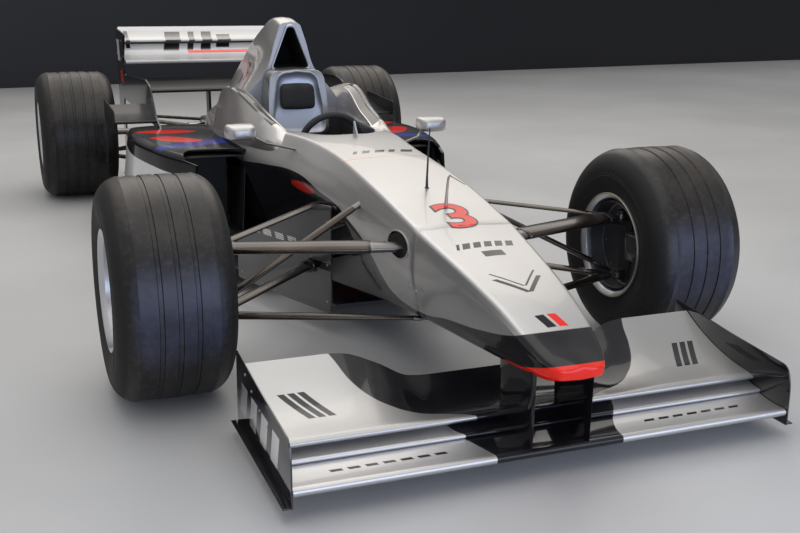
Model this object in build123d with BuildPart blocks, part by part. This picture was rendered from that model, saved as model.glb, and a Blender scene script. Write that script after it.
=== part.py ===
from build123d import *
import os

os.makedirs("parts", exist_ok=True)

# Open wheel racing car with a high nose, grooved tyres and a two-metre track, in millimetres.
# The frame's origin is on the ground below the middle of the car, +Y to the rear, +X to the car's left, +Z up.
# A station is a distance behind the front axle, so a place on the car is (side, station, height).

# Main sizes
WHEELBASE = 3030
FRONT_OVERHANG = 970
REAR_OVERHANG = 510
FRONT_AXLE_Y = FRONT_OVERHANG - (FRONT_OVERHANG + WHEELBASE + REAR_OVERHANG) / 2
SKIN = 12
JOINT_GAP = 0.5

# Wheels: width across both tyres, one tyre's width, and radii
FRONT_ACROSS = 2000
FRONT_TYRE_WIDTH = 335
FRONT_TYRE_R = 325.5
REAR_ACROSS = 1988
REAR_TYRE_WIDTH = 384
REAR_TYRE_R = 330.5
TYRE_SHOULDER_R = 72
TYRE_BULGE = 15
RIM_SEAT_R = 165
RIM_FLANGE_R = 178
RIM_WELL_R = 155
RIM_WALL = 5
FLANGE_THICKNESS = 9
RIM_WINDOWS = 10
DISC_R = 130
DISC_THICKNESS = 28
SPINDLE_R = 24
HUB_BOSS_R = 44

# Steering
KINGPIN_INSET = 116
KINGPIN_R = 8
UPPER_JOINT_UP = 100
LOWER_JOINT_DOWN = 106
STEER_ARM = 80
TRACK_ROD_UP = 72
RACK_R = 14
RACK_HALF = 118
RACK_BEARING_HALF = 66
STEERING_WHEEL_R = 125
COLUMN_R = 11

# Heights of the flat bottom
PLANK_BOTTOM = 35
PLANK_THICKNESS = 10
FLOOR_THICKNESS = 10
STEP_RISE = 50
STEP_HALF = 250
FLOOR_HALF = 700
FLOOR_BOTTOM = PLANK_BOTTOM + PLANK_THICKNESS
FLOOR_TOP = FLOOR_BOTTOM + FLOOR_THICKNESS
STEP_TOP = FLOOR_TOP + STEP_RISE

# Wings
FRONT_WING_HALF = 700
REAR_WING_HALF = 500
PLATE = 8

# Body stations
NOSE_JOINT = -300
COCKPIT_FRONT = 727
TUB_END = 1560
ENGINE_LENGTH = 620
ENGINE_HALF = 195
ENGINE_TOP = 420
GEARBOX_START = TUB_END + ENGINE_LENGTH

# Columns: station, share of the full corner radii, shoulder half-width and height, waist half-width and height,
# sill half-width and height
NOSE_STATIONS = (
    (-FRONT_OVERHANG, 0.15, 64, 316, 68, 303, 60, 290),
    (-925, 0.35, 84, 339, 87, 312, 76, 276),
    (-720, 0.7, 114, 416, 118, 345, 95, 260),
    (NOSE_JOINT, 1, 153, 507, 166, 365, 118, 233),
)
TUB_STATIONS = (
    (NOSE_JOINT, 1, 153, 507, 166, 365, 118, 233),
    (60, 1, 158, 567, 192, 425, 134, 195),
    (420, 1, 154, 605, 216, 478, 150, 140),
    (COCKPIT_FRONT, 1, 178, 620, 252, 488, 172, 98),
    (1100, 1, 222, 606, 288, 478, 205, FLOOR_TOP),
    (TUB_END, 1, 245, 600, 304, 468, 235, FLOOR_TOP),
)
SECTION_RADII = (14, 55, 24)
# Columns: station, half-width at the top and at the bottom of the cockpit, height of its bottom
COCKPIT_STATIONS = (
    (COCKPIT_FRONT + 40, 118, 105, 190),
    (1060, 178, 150, 110),
    (1400, 200, 175, 85),
)
# Columns: station, ridge half-width and height, outer foot half-width and height, inner foot half-width
SURROUND_STATIONS = (
    (930, 214, 612, 250, 575, 200),
    (1200, 246, 668, 288, 560, 205),
    (1500, 276, 728, 316, 545, 214),
    (1760, 262, 690, 310, 526, 190),
    (1960, 222, 600, 262, 524, 170),
)
# Columns: station, base half-width and height, shoulder half-width and height, neck half-width and height,
# crown half-width and height
COVER_STATIONS = (
    (TUB_END, 300, 470, 258, 605, 104, 790, 44, 988),
    (1680, 298, 470, 250, 596, 100, 785, 40, 1005),
    (2000, 272, 468, 214, 572, 80, 740, 30, 928),
    (2400, 212, 450, 150, 532, 56, 640, 22, 764),
    (2850, 130, 420, 88, 470, 40, 500, 16, 548),
)
# Columns: station, inner half-width, top outer half-width and height, bottom outer half-width
SIDEPOD_STATIONS = (
    (1060, 262, 522, 502, 536),
    (1400, 262, 618, 498, 634),
    (1780, 262, 668, 490, 688),
    (2150, 262, 640, 474, 668),
    (2500, 200, 470, 430, 520),
)
# Columns: station, half-width, top and bottom of the gearbox and the crash structure behind it
GEARBOX_STATIONS = (
    (GEARBOX_START, 185, 400, 80),
    (2550, 112, 390, 95),
    (3000, 92, 385, 130),
    (3440, 46, 345, 285),
)
# Columns: half-span, leading edge station and height, trailing edge station and height
FLAP_SECTIONS = (
    (692, -752, 124, -430, 220),
    (470, -752, 124, -430, 220),
    (330, -752, 124, -456, 186),
    (232, -752, 124, -487, 150),
    (0, -752, 124, -490, 148),
)


def station(y):
    """Cross plane of the car at a station: local x to the left, local y up."""
    return Plane(origin=(0, FRONT_AXLE_Y + y, 0), x_dir=(1, 0, 0), z_dir=(0, -1, 0))


def side(x):
    """Side plane of the car at a half-width: local x is the station, local y the height."""
    return Plane(origin=(x, FRONT_AXLE_Y, 0), x_dir=(0, 1, 0), z_dir=(1, 0, 0))


def level(z):
    """Plan plane of the car at a height: local x to the left, local y is the station."""
    return Plane(origin=(0, FRONT_AXLE_Y, z), x_dir=(1, 0, 0), z_dir=(0, 0, 1))


def place(x, y, z):
    """Point of the car from its half-width, station and height."""
    return Vector(x, FRONT_AXLE_Y + y, z)


def outline(plane, points, radii):
    """Closed profile of straight lines on a plane of the car, each corner rounded by its own radius or left sharp."""
    with BuildSketch(plane) as profile:
        with BuildLine():
            Polyline(*points, close=True)
        make_face()
        for point, radius in zip(points, radii):
            if radius:
                fillet(profile.vertices().sort_by_distance(point)[0], radius)
    return profile.sketch


def both_sides(half):
    """Points of one half of a section, from top to bottom, joined to their mirror image."""
    return [*half, *[(-x, z) for x, z in reversed(half)]]


def body_section(row):
    """Six-sided section of the nose and the tub."""
    y, share, *sizes = row
    half = list(zip(sizes[0::2], sizes[1::2]))
    radii = [share * radius for radius in SECTION_RADII]
    return outline(station(y), both_sides(half), (*radii, *reversed(radii)))


def rod(start, end, chord, thickness):
    """Arm between two points, its section a slot with its chord level, or a circle."""
    run = end - start
    across = Vector(0, 0, 1).cross(run)
    with BuildPart() as arm:
        with BuildSketch(Plane(origin=start, x_dir=across, z_dir=run)):
            if chord > thickness:
                SlotOverall(chord, thickness)
            else:
                Circle(chord / 2)
        extrude(amount=run.length)
    return arm.part


def upright_pin(centre, radius, height):
    """Vertical cylinder about a centre point."""
    with BuildPart() as pin:
        with BuildSketch(Plane(origin=centre - Vector(0, 0, height / 2))):
            Circle(radius)
        extrude(amount=height)
    return pin.part


def save(name, part):
    """Label a finished piece and write it."""
    part.label = name
    export_step(part, f"parts/{name}.step")


# Nose cone
with BuildPart() as nose_cone:
    loft([body_section(row) for row in NOSE_STATIONS])

# Monocoque: outer form, cockpit, leg tunnel and the passage of the steering rack
RACK_STATION = -92
RACK_HEIGHT = FRONT_TYRE_R + TRACK_ROD_UP + 12
COCKPIT_TOP = 700
LEG_TUNNEL_FRONT = 180
LEG_TUNNEL_HALF = 130
LEG_TUNNEL_LOW = 205
LEG_TUNNEL_TOP = 465
LEG_TUNNEL_CORNER = 12
RACK_SLOT = (92, 44)

cockpit_sections = [
    outline(
        station(y),
        [(top, COCKPIT_TOP), (top, bottom_z + 150), (low, bottom_z), (-low, bottom_z), (-top, bottom_z + 150),
         (-top, COCKPIT_TOP)],
        (0, 60, 40, 40, 60, 0),
    )
    for y, top, low, bottom_z in COCKPIT_STATIONS
]
with BuildPart() as monocoque:
    loft([body_section(row) for row in TUB_STATIONS[:-1]])
    loft([body_section(row) for row in TUB_STATIONS[-2:]])
    loft(cockpit_sections, mode=Mode.SUBTRACT)
    with BuildSketch(station(LEG_TUNNEL_FRONT)):
        with Locations((0, (LEG_TUNNEL_LOW + LEG_TUNNEL_TOP) / 2)):
            RectangleRounded(2 * LEG_TUNNEL_HALF, LEG_TUNNEL_TOP - LEG_TUNNEL_LOW, LEG_TUNNEL_CORNER)
    extrude(amount=LEG_TUNNEL_FRONT - COCKPIT_FRONT - 60, mode=Mode.SUBTRACT)
    with BuildSketch(side(-RACK_HALF)):
        with Locations((RACK_STATION, RACK_HEIGHT)):
            Circle(RACK_R + JOINT_GAP)
    extrude(amount=2 * RACK_HALF, mode=Mode.SUBTRACT)
    for direction in (-1, 1):
        with BuildSketch(side(direction * RACK_BEARING_HALF)):
            with Locations((RACK_STATION + 8, RACK_HEIGHT - 4)):
                SlotOverall(*RACK_SLOT)
        extrude(amount=direction * 200, mode=Mode.SUBTRACT)

# Head protection along the cockpit's sides
surround_sections = [
    outline(
        station(y),
        [(inner, outer_z - 40), (inner, ridge_z - 26), (ridge_x, ridge_z), (outer, outer_z), (outer - 16, outer_z - 40)],
        (0, 4, 8, 10, 0),
    )
    for y, ridge_x, ridge_z, outer, outer_z, inner in SURROUND_STATIONS
]
with BuildPart() as cockpit_surround:
    loft(surround_sections)
    mirror(about=Plane.YZ)
    add(monocoque.part, mode=Mode.SUBTRACT)
    with BuildSketch(level(400)):
        with Locations((0, 1100)):
            Rectangle(380, 640)
    extrude(amount=400, mode=Mode.SUBTRACT)

# Roll structure that carries the headrest
SHROUD_FRONT = 1426
SHROUD_LEAN = 34
SHROUD_HALF = 122
SHROUD_TOP = 794
PAD_LOW = 628
PAD_HEIGHT = 112
PAD_HALF = 76
PAD_DEPTH = 38
shroud_front_view = outline(
    station(TUB_END),
    [(SHROUD_HALF, SHROUD_TOP), (SHROUD_HALF + 14, 520), (-SHROUD_HALF - 14, 520), (-SHROUD_HALF, SHROUD_TOP)],
    (70, 20, 20, 70),
)
with BuildPart() as roll_structure:
    extrude(shroud_front_view, amount=TUB_END - SHROUD_FRONT)
    with BuildSketch(side(-200)):
        with BuildLine():
            Polyline(
                (SHROUD_FRONT, 500), (SHROUD_FRONT, 545), (SHROUD_FRONT + SHROUD_LEAN, SHROUD_TOP + 5),
                (TUB_END, SHROUD_TOP + 5), (TUB_END, 500), close=True,
            )
        make_face()
    extrude(amount=400, mode=Mode.INTERSECT)
    with BuildSketch(station(SHROUD_FRONT)):
        with Locations((0, PAD_LOW + PAD_HEIGHT / 2)):
            RectangleRounded(2 * PAD_HALF, PAD_HEIGHT, 24)
    extrude(amount=-SHROUD_LEAN - PAD_DEPTH, mode=Mode.SUBTRACT)
    add(monocoque.part, mode=Mode.SUBTRACT)
    add(cockpit_surround.part, mode=Mode.SUBTRACT)

with BuildPart() as headrest_pad:
    with BuildSketch(station(SHROUD_FRONT + SHROUD_LEAN + PAD_DEPTH)):
        with Locations((0, PAD_LOW + PAD_HEIGHT / 2)):
            RectangleRounded(2 * PAD_HALF, PAD_HEIGHT, 24)
    extrude(amount=PAD_DEPTH - 8)

# Engine cover with the airbox intake above the headrest
INTAKE_LOW = 812
INTAKE_TOP = 968
INTAKE_HALF = 72
INTAKE_DEPTH = 260
cover_sections = [
    outline(
        station(y),
        both_sides([(crown, crown_z), (neck, neck_z), (shoulder, shoulder_z), (base, base_z)]),
        (crown * 0.7, 60, 60, 10, 10, 60, 60, crown * 0.7),
    )
    for y, base, base_z, shoulder, shoulder_z, neck, neck_z, crown, crown_z in COVER_STATIONS
]
intake_outline = outline(
    station(TUB_END - 1),
    [(14, INTAKE_TOP), (INTAKE_HALF, INTAKE_LOW), (-INTAKE_HALF, INTAKE_LOW), (-14, INTAKE_TOP)],
    (12, 14, 14, 12),
)
with BuildPart() as engine_cover:
    loft(cover_sections)
    add(cockpit_surround.part, mode=Mode.SUBTRACT)
    extrude(intake_outline, amount=-INTAKE_DEPTH, mode=Mode.SUBTRACT)

# Sidepods with their inlets and the radiators inside
INLET_DEPTH = 430
RADIATOR_THICKNESS = 50
sidepod_sections = [
    outline(
        station(y),
        [(inner, top_z), (top_outer, top_z), (low_outer, STEP_TOP), (inner, STEP_TOP)],
        (0, 42, 30, 0),
    )
    for y, inner, top_outer, top_z, low_outer in SIDEPOD_STATIONS
]
duct_sections = [
    outline(station(y), [(320, 486), (outer, 486), (outer, 140), (320, 140)], (40, 36, 36, 40))
    for y, outer in ((SIDEPOD_STATIONS[0][0] - 2, 508), (SIDEPOD_STATIONS[0][0] + INLET_DEPTH, 596))
]
with BuildPart() as sidepod_left:
    loft(sidepod_sections)
    loft(duct_sections, mode=Mode.SUBTRACT)
    add(monocoque.part, mode=Mode.SUBTRACT)
    add(engine_cover.part, mode=Mode.SUBTRACT)
    add(cockpit_surround.part, mode=Mode.SUBTRACT)

with BuildPart() as sidepod_right:
    add(mirror(sidepod_left.part, about=Plane.YZ))

radiator_outline = outline(
    station(SIDEPOD_STATIONS[0][0] + INLET_DEPTH),
    [(322, 484), (592, 484), (592, 142), (322, 142)],
    (38, 34, 34, 38),
)
with BuildPart() as radiators:
    extrude(radiator_outline, amount=RADIATOR_THICKNESS)
    add(sidepod_left.part, mode=Mode.SUBTRACT)
    mirror(about=Plane.YZ)

# Flat floor with its raised steps, the plank below it and the diffuser behind
FLOOR_FRONT = 470
STEP_FRONT = 820
FLOOR_REAR = WHEELBASE
TYRE_NOTCH = 2640
with BuildPart() as floor:
    with BuildSketch(level(FLOOR_BOTTOM)):
        with BuildLine():
            Polyline(
                (150, FLOOR_FRONT), (STEP_HALF, 900), (STEP_HALF, FLOOR_REAR), (-STEP_HALF, FLOOR_REAR),
                (-STEP_HALF, 900), (-150, FLOOR_FRONT), close=True,
            )
        make_face()
    extrude(amount=FLOOR_THICKNESS)
    with BuildSketch(level(STEP_TOP - FLOOR_THICKNESS)):
        with BuildLine():
            Polyline(
                (STEP_HALF - SKIN, 900), (300, STEP_FRONT), (520, 1000), (FLOOR_HALF, 1300), (FLOOR_HALF, TYRE_NOTCH),
                (560, TYRE_NOTCH), (560, FLOOR_REAR), (STEP_HALF - SKIN, FLOOR_REAR), close=True,
            )
        make_face()
    extrude(amount=FLOOR_THICKNESS)
    with BuildSketch(level(FLOOR_BOTTOM)):
        with Locations((STEP_HALF - SKIN / 2, (900 + FLOOR_REAR) / 2)):
            Rectangle(SKIN, FLOOR_REAR - 900)
    extrude(amount=STEP_TOP - FLOOR_BOTTOM)
    mirror(about=Plane.YZ)
    add(monocoque.part, mode=Mode.SUBTRACT)

with BuildPart() as plank:
    with BuildSketch(level(PLANK_BOTTOM)):
        with Locations((0, (FLOOR_FRONT + 30 + FLOOR_REAR) / 2)):
            RectangleRounded(300, FLOOR_REAR - FLOOR_FRONT - 30, 40)
    extrude(amount=PLANK_THICKNESS)

DIFFUSER_REAR = 3390
DIFFUSER_RISE = 190
DIFFUSER_HALF = REAR_WING_HALF - PLATE
STRAKES = (150, 320)
with BuildPart() as diffuser:
    with BuildSketch(side(-DIFFUSER_HALF)):
        with BuildLine():
            Polyline(
                (FLOOR_REAR, STEP_TOP), (DIFFUSER_REAR, STEP_TOP + DIFFUSER_RISE),
                (DIFFUSER_REAR, STEP_TOP + DIFFUSER_RISE - PLATE), (FLOOR_REAR, STEP_TOP - FLOOR_THICKNESS), close=True,
            )
        make_face()
    extrude(amount=2 * DIFFUSER_HALF)
    with BuildSketch(side(DIFFUSER_HALF - PLATE)):
        with BuildLine():
            Polyline(
                (FLOOR_REAR, STEP_TOP), (DIFFUSER_REAR, STEP_TOP + DIFFUSER_RISE), (DIFFUSER_REAR, 90),
                (FLOOR_REAR, 60), close=True,
            )
        make_face()
    extrude(amount=PLATE)
    for half in STRAKES:
        with BuildSketch(side(half)):
            with BuildLine():
                Polyline(
                    (FLOOR_REAR, STEP_TOP - 4), (DIFFUSER_REAR, STEP_TOP + DIFFUSER_RISE - 4), (DIFFUSER_REAR, 120),
                    (FLOOR_REAR, 70), close=True,
                )
            make_face()
        extrude(amount=5)
    mirror(about=Plane.YZ)

# Front wing: main plane, flap, end plates and the pillars that hang it from the nose
MAIN_LEAD = -892
MAIN_TRAIL = -742


def blade(plane, lead, trail, camber, thickness):
    """Thin aerofoil profile with a round leading edge, hollow side up."""
    lead_point, trail_point = Vector(*lead), Vector(*trail)
    chord = trail_point - lead_point
    normal = Vector(-chord.Y, chord.X).normalized()
    middle = (lead_point + trail_point) / 2 - normal * camber
    nose_top = lead_point + normal * thickness / 2
    nose_low = lead_point - normal * thickness / 2
    nose_tip = lead_point - chord.normalized() * thickness / 2
    tail_low = trail_point - normal * 2
    with BuildSketch(plane) as profile:
        with BuildLine():
            ThreePointArc(nose_top, middle + normal * thickness / 3, trail_point)
            Line(trail_point, tail_low)
            ThreePointArc(tail_low, middle - normal * thickness / 2, nose_low)
            ThreePointArc(nose_low, nose_tip, nose_top)
        make_face()
    return profile.sketch


with BuildPart() as front_wing_main:
    extrude(blade(side(0), (MAIN_LEAD, 72), (MAIN_TRAIL, 99), 12, 22), amount=FRONT_WING_HALF - PLATE)
    mirror(about=Plane.YZ)

with BuildPart() as front_wing_flap:
    loft([
        blade(side(x), (lead, lead_z), (trail, trail_z), 26, 14)
        for x, lead, lead_z, trail, trail_z in FLAP_SECTIONS
    ])
    mirror(about=Plane.YZ)

endplate_outline = outline(
    side(FRONT_WING_HALF - PLATE),
    [(-906, 36), (-904, 158), (-886, 203), (-650, 217), (-370, 240), (-370, 36)],
    (6, 40, 24, 0, 6, 6),
)
with BuildPart() as front_wing_endplates:
    extrude(endplate_outline, amount=PLATE)
    with BuildSketch(level(36)):
        with Locations((FRONT_WING_HALF + 10, -638)):
            Rectangle(24, 530)
    extrude(amount=5)
    mirror(about=Plane.YZ)

PILLAR_SIDE = 76
with BuildPart() as nose_pillars:
    with BuildSketch(side(PILLAR_SIDE)):
        with BuildLine():
            Polyline((-896, 70), (-902, 330), (-700, 360), (-712, 101), close=True)
        make_face()
    extrude(amount=10)
    mirror(about=Plane.YZ)
    add(nose_cone.part, mode=Mode.SUBTRACT)
    add(front_wing_main.part, mode=Mode.SUBTRACT)
    add(front_wing_flap.part, mode=Mode.SUBTRACT)

# Mirrors on thin stays
MIRROR_SIDE = 385
MIRROR_STATION = 872
MIRROR_HEIGHT = 628
with BuildPart() as mirrors:
    with BuildSketch(station(MIRROR_STATION + 34)):
        with Locations((MIRROR_SIDE, MIRROR_HEIGHT)):
            RectangleRounded(114, 56, 14)
    extrude(amount=68, taper=8)
    add(rod(place(MIRROR_SIDE - 40, MIRROR_STATION, MIRROR_HEIGHT - 14), place(150, 735, 560), 16, 8))
    mirror(about=Plane.YZ)
    add(monocoque.part, mode=Mode.SUBTRACT)

# Front suspension arms, their outer eyes on the kingpin line
FRONT_CENTRE = (FRONT_ACROSS - FRONT_TYRE_WIDTH) / 2
KINGPIN_SIDE = FRONT_CENTRE - KINGPIN_INSET
UPPER_JOINT_Z = FRONT_TYRE_R + UPPER_JOINT_UP
LOWER_JOINT_Z = FRONT_TYRE_R - LOWER_JOINT_DOWN
TRACK_ROD_Z = FRONT_TYRE_R + TRACK_ROD_UP
EYE_R = 17
EYE_HEIGHT = 16
FORK_SIDE = KINGPIN_SIDE - 30
# Columns: half-width, station and height of the body end, height of the outer joint, chord, thickness
FRONT_LEGS = (
    (130, -213, 438, UPPER_JOINT_Z, 84, 28),
    (170, 497, 438, UPPER_JOINT_Z, 36, 13),
    (90, -237, 220, LOWER_JOINT_Z, 38, 15),
    (150, 512, 234, LOWER_JOINT_Z, 44, 18),
)
front_arms = [
    rod(place(x, y, z), place(FORK_SIDE, 0, joint_z), chord, thickness)
    for x, y, z, joint_z, chord, thickness in FRONT_LEGS
]
for joint_z in (UPPER_JOINT_Z, LOWER_JOINT_Z):
    front_arms.append(rod(place(FORK_SIDE - 18, 0, joint_z), place(KINGPIN_SIDE, 0, joint_z), 30, 14))
    front_arms.append(upright_pin(place(KINGPIN_SIDE, 0, joint_z), EYE_R, EYE_HEIGHT))
front_pushrod = rod(place(FORK_SIDE + 8, 10, LOWER_JOINT_Z + 14), place(130, 141, 523), 36, 18)
with BuildPart() as front_wishbones:
    add(front_arms)
    add(front_pushrod)
    for joint_z in (UPPER_JOINT_Z, LOWER_JOINT_Z):
        add(upright_pin(place(KINGPIN_SIDE, 0, joint_z), KINGPIN_R + JOINT_GAP, EYE_HEIGHT + 2), mode=Mode.SUBTRACT)
    mirror(about=Plane.YZ)
    add(monocoque.part, mode=Mode.SUBTRACT)
    add(nose_cone.part, mode=Mode.SUBTRACT)
    with BuildSketch(side(-140)):
        with Locations((130, 350)):
            Rectangle(900, 420)
    extrude(amount=280, mode=Mode.SUBTRACT)

# Bargeboards behind the front wheels
BOARD_THICKNESS = 6
BOARD_RUN = (0.36, 0.93, 0)
BOARD_OUTWARD = (0.93, -0.36, 0)
BOARD_FRONT = (215, 300)
# Columns: distance along the board and height of each corner, radius of its rounding
BOARD_CORNERS = (
    (0, 80, 15),
    (0, 458, 14),
    (70, 454, 60),
    (215, 400, 0),
    (430, 307, 0),
    (560, 250, 10),
    (560, 90, 10),
    (300, 80, 0),
)
STAY_LEVEL = 300
STAY_THICKNESS = 8
LEG_SLOT_REACH = 126
LEG_SLOT_LEVEL = 242
LEG_SLOT_HEIGHT = 26
with BuildPart() as bargeboards:
    with BuildSketch(Plane(origin=place(*BOARD_FRONT, 0), x_dir=BOARD_RUN, z_dir=BOARD_OUTWARD)):
        with BuildLine():
            FilletPolyline(
                *[(along, height) for along, height, radius in BOARD_CORNERS],
                radius=[radius for along, height, radius in BOARD_CORNERS], close=True,
            )
        make_face()
    extrude(amount=BOARD_THICKNESS)
    with BuildSketch(Plane(origin=place(*BOARD_FRONT, LEG_SLOT_LEVEL), x_dir=BOARD_RUN, z_dir=BOARD_OUTWARD)):
        SlotOverall(2 * LEG_SLOT_REACH, LEG_SLOT_HEIGHT)
    extrude(amount=BOARD_THICKNESS, mode=Mode.SUBTRACT)
    with BuildSketch(level(STAY_LEVEL)):
        with BuildLine():
            Polyline((150, 500), (150, 540), (300, 540), (290, 500), close=True)
        make_face()
    extrude(amount=STAY_THICKNESS)
    mirror(about=Plane.YZ)
    add(monocoque.part, mode=Mode.SUBTRACT)
    add(front_wishbones.part, mode=Mode.SUBTRACT)

# Front knuckles: upright, ears that hold the kingpins, spindle, steering arm and brake caliper
UPRIGHT_INNER = KINGPIN_SIDE + 24
UPRIGHT_OUTER = KINGPIN_SIDE + 56
UPRIGHT_HALF = 32
UPRIGHT_HEIGHT = 276
EAR_THICKNESS = 8
SPINDLE_END = 96
CALIPER_GAP = 5
CALIPER_ARM_REACH = 90
DISC_CENTRE = -20
STEER_PIN_R = 5
with BuildPart() as front_knuckle_left:
    with BuildSketch(side(UPRIGHT_INNER)):
        with Locations((0, FRONT_TYRE_R)):
            RectangleRounded(2 * UPRIGHT_HALF, UPRIGHT_HEIGHT, 20)
    extrude(amount=UPRIGHT_OUTER - UPRIGHT_INNER)
    with BuildSketch(side(UPRIGHT_OUTER)):
        with Locations((0, FRONT_TYRE_R)):
            Circle(SPINDLE_R)
    extrude(amount=FRONT_CENTRE + SPINDLE_END - UPRIGHT_OUTER)
    for joint_z in (UPPER_JOINT_Z, LOWER_JOINT_Z):
        for shift in (-1, 1):
            ear_z = joint_z + shift * (EYE_HEIGHT / 2 + 2 + EAR_THICKNESS / 2) - EAR_THICKNESS / 2
            with BuildSketch(level(ear_z)):
                with Locations((KINGPIN_SIDE, 0)):
                    Circle(14)
                with Locations((KINGPIN_SIDE + 14, 0)):
                    Rectangle(28, 28)
            extrude(amount=EAR_THICKNESS)
        add(upright_pin(place(KINGPIN_SIDE, 0, joint_z), KINGPIN_R, EYE_HEIGHT + 2 * EAR_THICKNESS + 4))
    with BuildSketch(level(TRACK_ROD_Z - 26)):
        with BuildLine():
            FilletPolyline(
                (KINGPIN_SIDE - 12, STEER_ARM + 12), (KINGPIN_SIDE + 14, STEER_ARM + 12), (UPRIGHT_OUTER, 20),
                (UPRIGHT_OUTER, 0), (UPRIGHT_INNER, 0), (KINGPIN_SIDE - 12, STEER_ARM - 10),
                radius=(8, 8, 0, 0, 0, 8), close=True,
            )
        make_face()
    extrude(amount=12)
    add(upright_pin(place(KINGPIN_SIDE, STEER_ARM, TRACK_ROD_Z - 3), STEER_PIN_R, 32))
    with BuildSketch(Plane(
        origin=place(FRONT_CENTRE + DISC_CENTRE - 36, 0, FRONT_TYRE_R), x_dir=(0, 1, 0), z_dir=(1, 0, 0),
    )):
        with BuildLine():
            CenterArc((0, 0), 144, -28, 56)
            CenterArc((0, 0), 94, -28, 56)
            Line(Vector(144, 0).rotate(Axis.Z, 28), Vector(94, 0).rotate(Axis.Z, 28))
            Line(Vector(144, 0).rotate(Axis.Z, -28), Vector(94, 0).rotate(Axis.Z, -28))
        make_face()
    extrude(amount=72)
    with BuildSketch(side(UPRIGHT_OUTER - 10)):
        with Locations((CALIPER_ARM_REACH / 2 + 10, FRONT_TYRE_R)):
            Rectangle(CALIPER_ARM_REACH, CALIPER_ARM_REACH)
    extrude(amount=FRONT_CENTRE + DISC_CENTRE - 36 - UPRIGHT_OUTER + 20)
    with BuildSketch(side(FRONT_CENTRE + DISC_CENTRE - DISC_THICKNESS / 2 - CALIPER_GAP)):
        with Locations((0, FRONT_TYRE_R)):
            Circle(DISC_R + CALIPER_GAP)
            Circle(SPINDLE_R, mode=Mode.SUBTRACT)
    extrude(amount=DISC_THICKNESS + 2 * CALIPER_GAP, mode=Mode.SUBTRACT)

with BuildPart() as front_knuckle_right:
    add(mirror(front_knuckle_left.part, about=Plane.YZ))

# Steering rack with both track rods, and the steering wheel on its column
TRACK_EYE_R = 15
TRACK_EYE_BORE = 9.5
track_rod_inner = place(RACK_HALF - 4, RACK_STATION, RACK_HEIGHT)
track_rod_outer = place(KINGPIN_SIDE, STEER_ARM, TRACK_ROD_Z)
with BuildPart() as steering_rack:
    with BuildSketch(side(0)):
        with Locations((RACK_STATION, RACK_HEIGHT)):
            Circle(RACK_R)
    extrude(amount=RACK_HALF)
    add(rod(track_rod_inner, track_rod_outer, 26, 11))
    add(upright_pin(track_rod_outer, TRACK_EYE_R, 12))
    add(upright_pin(track_rod_outer, TRACK_EYE_BORE, 14), mode=Mode.SUBTRACT)
    mirror(about=Plane.YZ)

COLUMN_TILT = 14
WHEEL_STATION = 985
WHEEL_HEIGHT = 548
column_plane = Plane(origin=place(0, WHEEL_STATION, WHEEL_HEIGHT), x_dir=(-1, 0, 0),
                     z_dir=Vector(0, 1, 0).rotate(Axis.X, COLUMN_TILT))
DASH_STATION = COCKPIT_FRONT + 70
with BuildPart() as dash_bulkhead:
    with BuildSketch(station(DASH_STATION)):
        with Locations((0, 500)):
            Rectangle(300, 130)
    extrude(amount=16)
    with BuildSketch(column_plane):
        Circle(COLUMN_R + JOINT_GAP)
    extrude(amount=-300, mode=Mode.SUBTRACT)
    add(monocoque.part, mode=Mode.SUBTRACT)

with BuildPart() as steering_wheel:
    with BuildSketch(column_plane):
        Circle(COLUMN_R)
    extrude(amount=-200)
    with BuildSketch(column_plane.offset(-14)):
        RectangleRounded(120, 70, 16)
    extrude(amount=26)
    with BuildSketch(column_plane.offset(-5)):
        Rectangle(2 * STEERING_WHEEL_R - 6, 34)
        with Locations((0, -STEERING_WHEEL_R / 2)):
            Rectangle(40, STEERING_WHEEL_R - 4)
    extrude(amount=10)
    with BuildSketch(Plane(origin=column_plane.origin, x_dir=column_plane.z_dir, z_dir=column_plane.y_dir)):
        with Locations((0, STEERING_WHEEL_R)):
            Circle(13)
    revolve(axis=Axis(column_plane.origin, column_plane.z_dir))

with BuildPart() as seat:
    with BuildSketch(side(-150)):
        with BuildLine():
            FilletPolyline(
                (900, 128), (1180, 118), (1385, 470), (1372, 478), (1170, 134), (900, 142),
                radius=(5, 90, 5, 5, 80, 5), close=True,
            )
        make_face()
    extrude(amount=300)
    add(monocoque.part, mode=Mode.SUBTRACT)

# Engine, gearbox with the crash structure behind it, exhausts and rain light
with BuildPart() as engine:
    with BuildSketch(station(TUB_END)):
        with Locations((0, (FLOOR_TOP + ENGINE_TOP) / 2)):
            Rectangle(2 * ENGINE_HALF, ENGINE_TOP - FLOOR_TOP)
    extrude(amount=-ENGINE_LENGTH)

with BuildPart() as gearbox:
    loft([
        outline(station(y), [(half, top), (half, low), (-half, low), (-half, top)], (20,) * 4)
        for y, half, top, low in GEARBOX_STATIONS
    ])
    add(diffuser.part, mode=Mode.SUBTRACT)
    with BuildSketch(side(-120)):
        with Locations((WHEELBASE, REAR_TYRE_R)):
            Circle(48)
    extrude(amount=240)

RAIN_LIGHT_SIZE = (60, 50)
with BuildPart() as rain_light:
    with BuildSketch(station(GEARBOX_STATIONS[-1][0])):
        with Locations((0, 315)):
            RectangleRounded(*RAIN_LIGHT_SIZE, 8)
    extrude(amount=-24)

EXHAUST_R = 34
EXHAUST_PLACE = (162, 240)
EXHAUST_FRONT = GEARBOX_START
EXHAUST_LENGTH = 660
TAILPIPE_LENGTH = 100
TAILPIPE_WALL = 3
with BuildPart() as exhausts:
    with BuildSketch(station(EXHAUST_FRONT)):
        with Locations(EXHAUST_PLACE):
            Circle(EXHAUST_R)
    extrude(amount=-EXHAUST_LENGTH)
    mirror(about=Plane.YZ)
    add(gearbox.part, mode=Mode.SUBTRACT)

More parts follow.
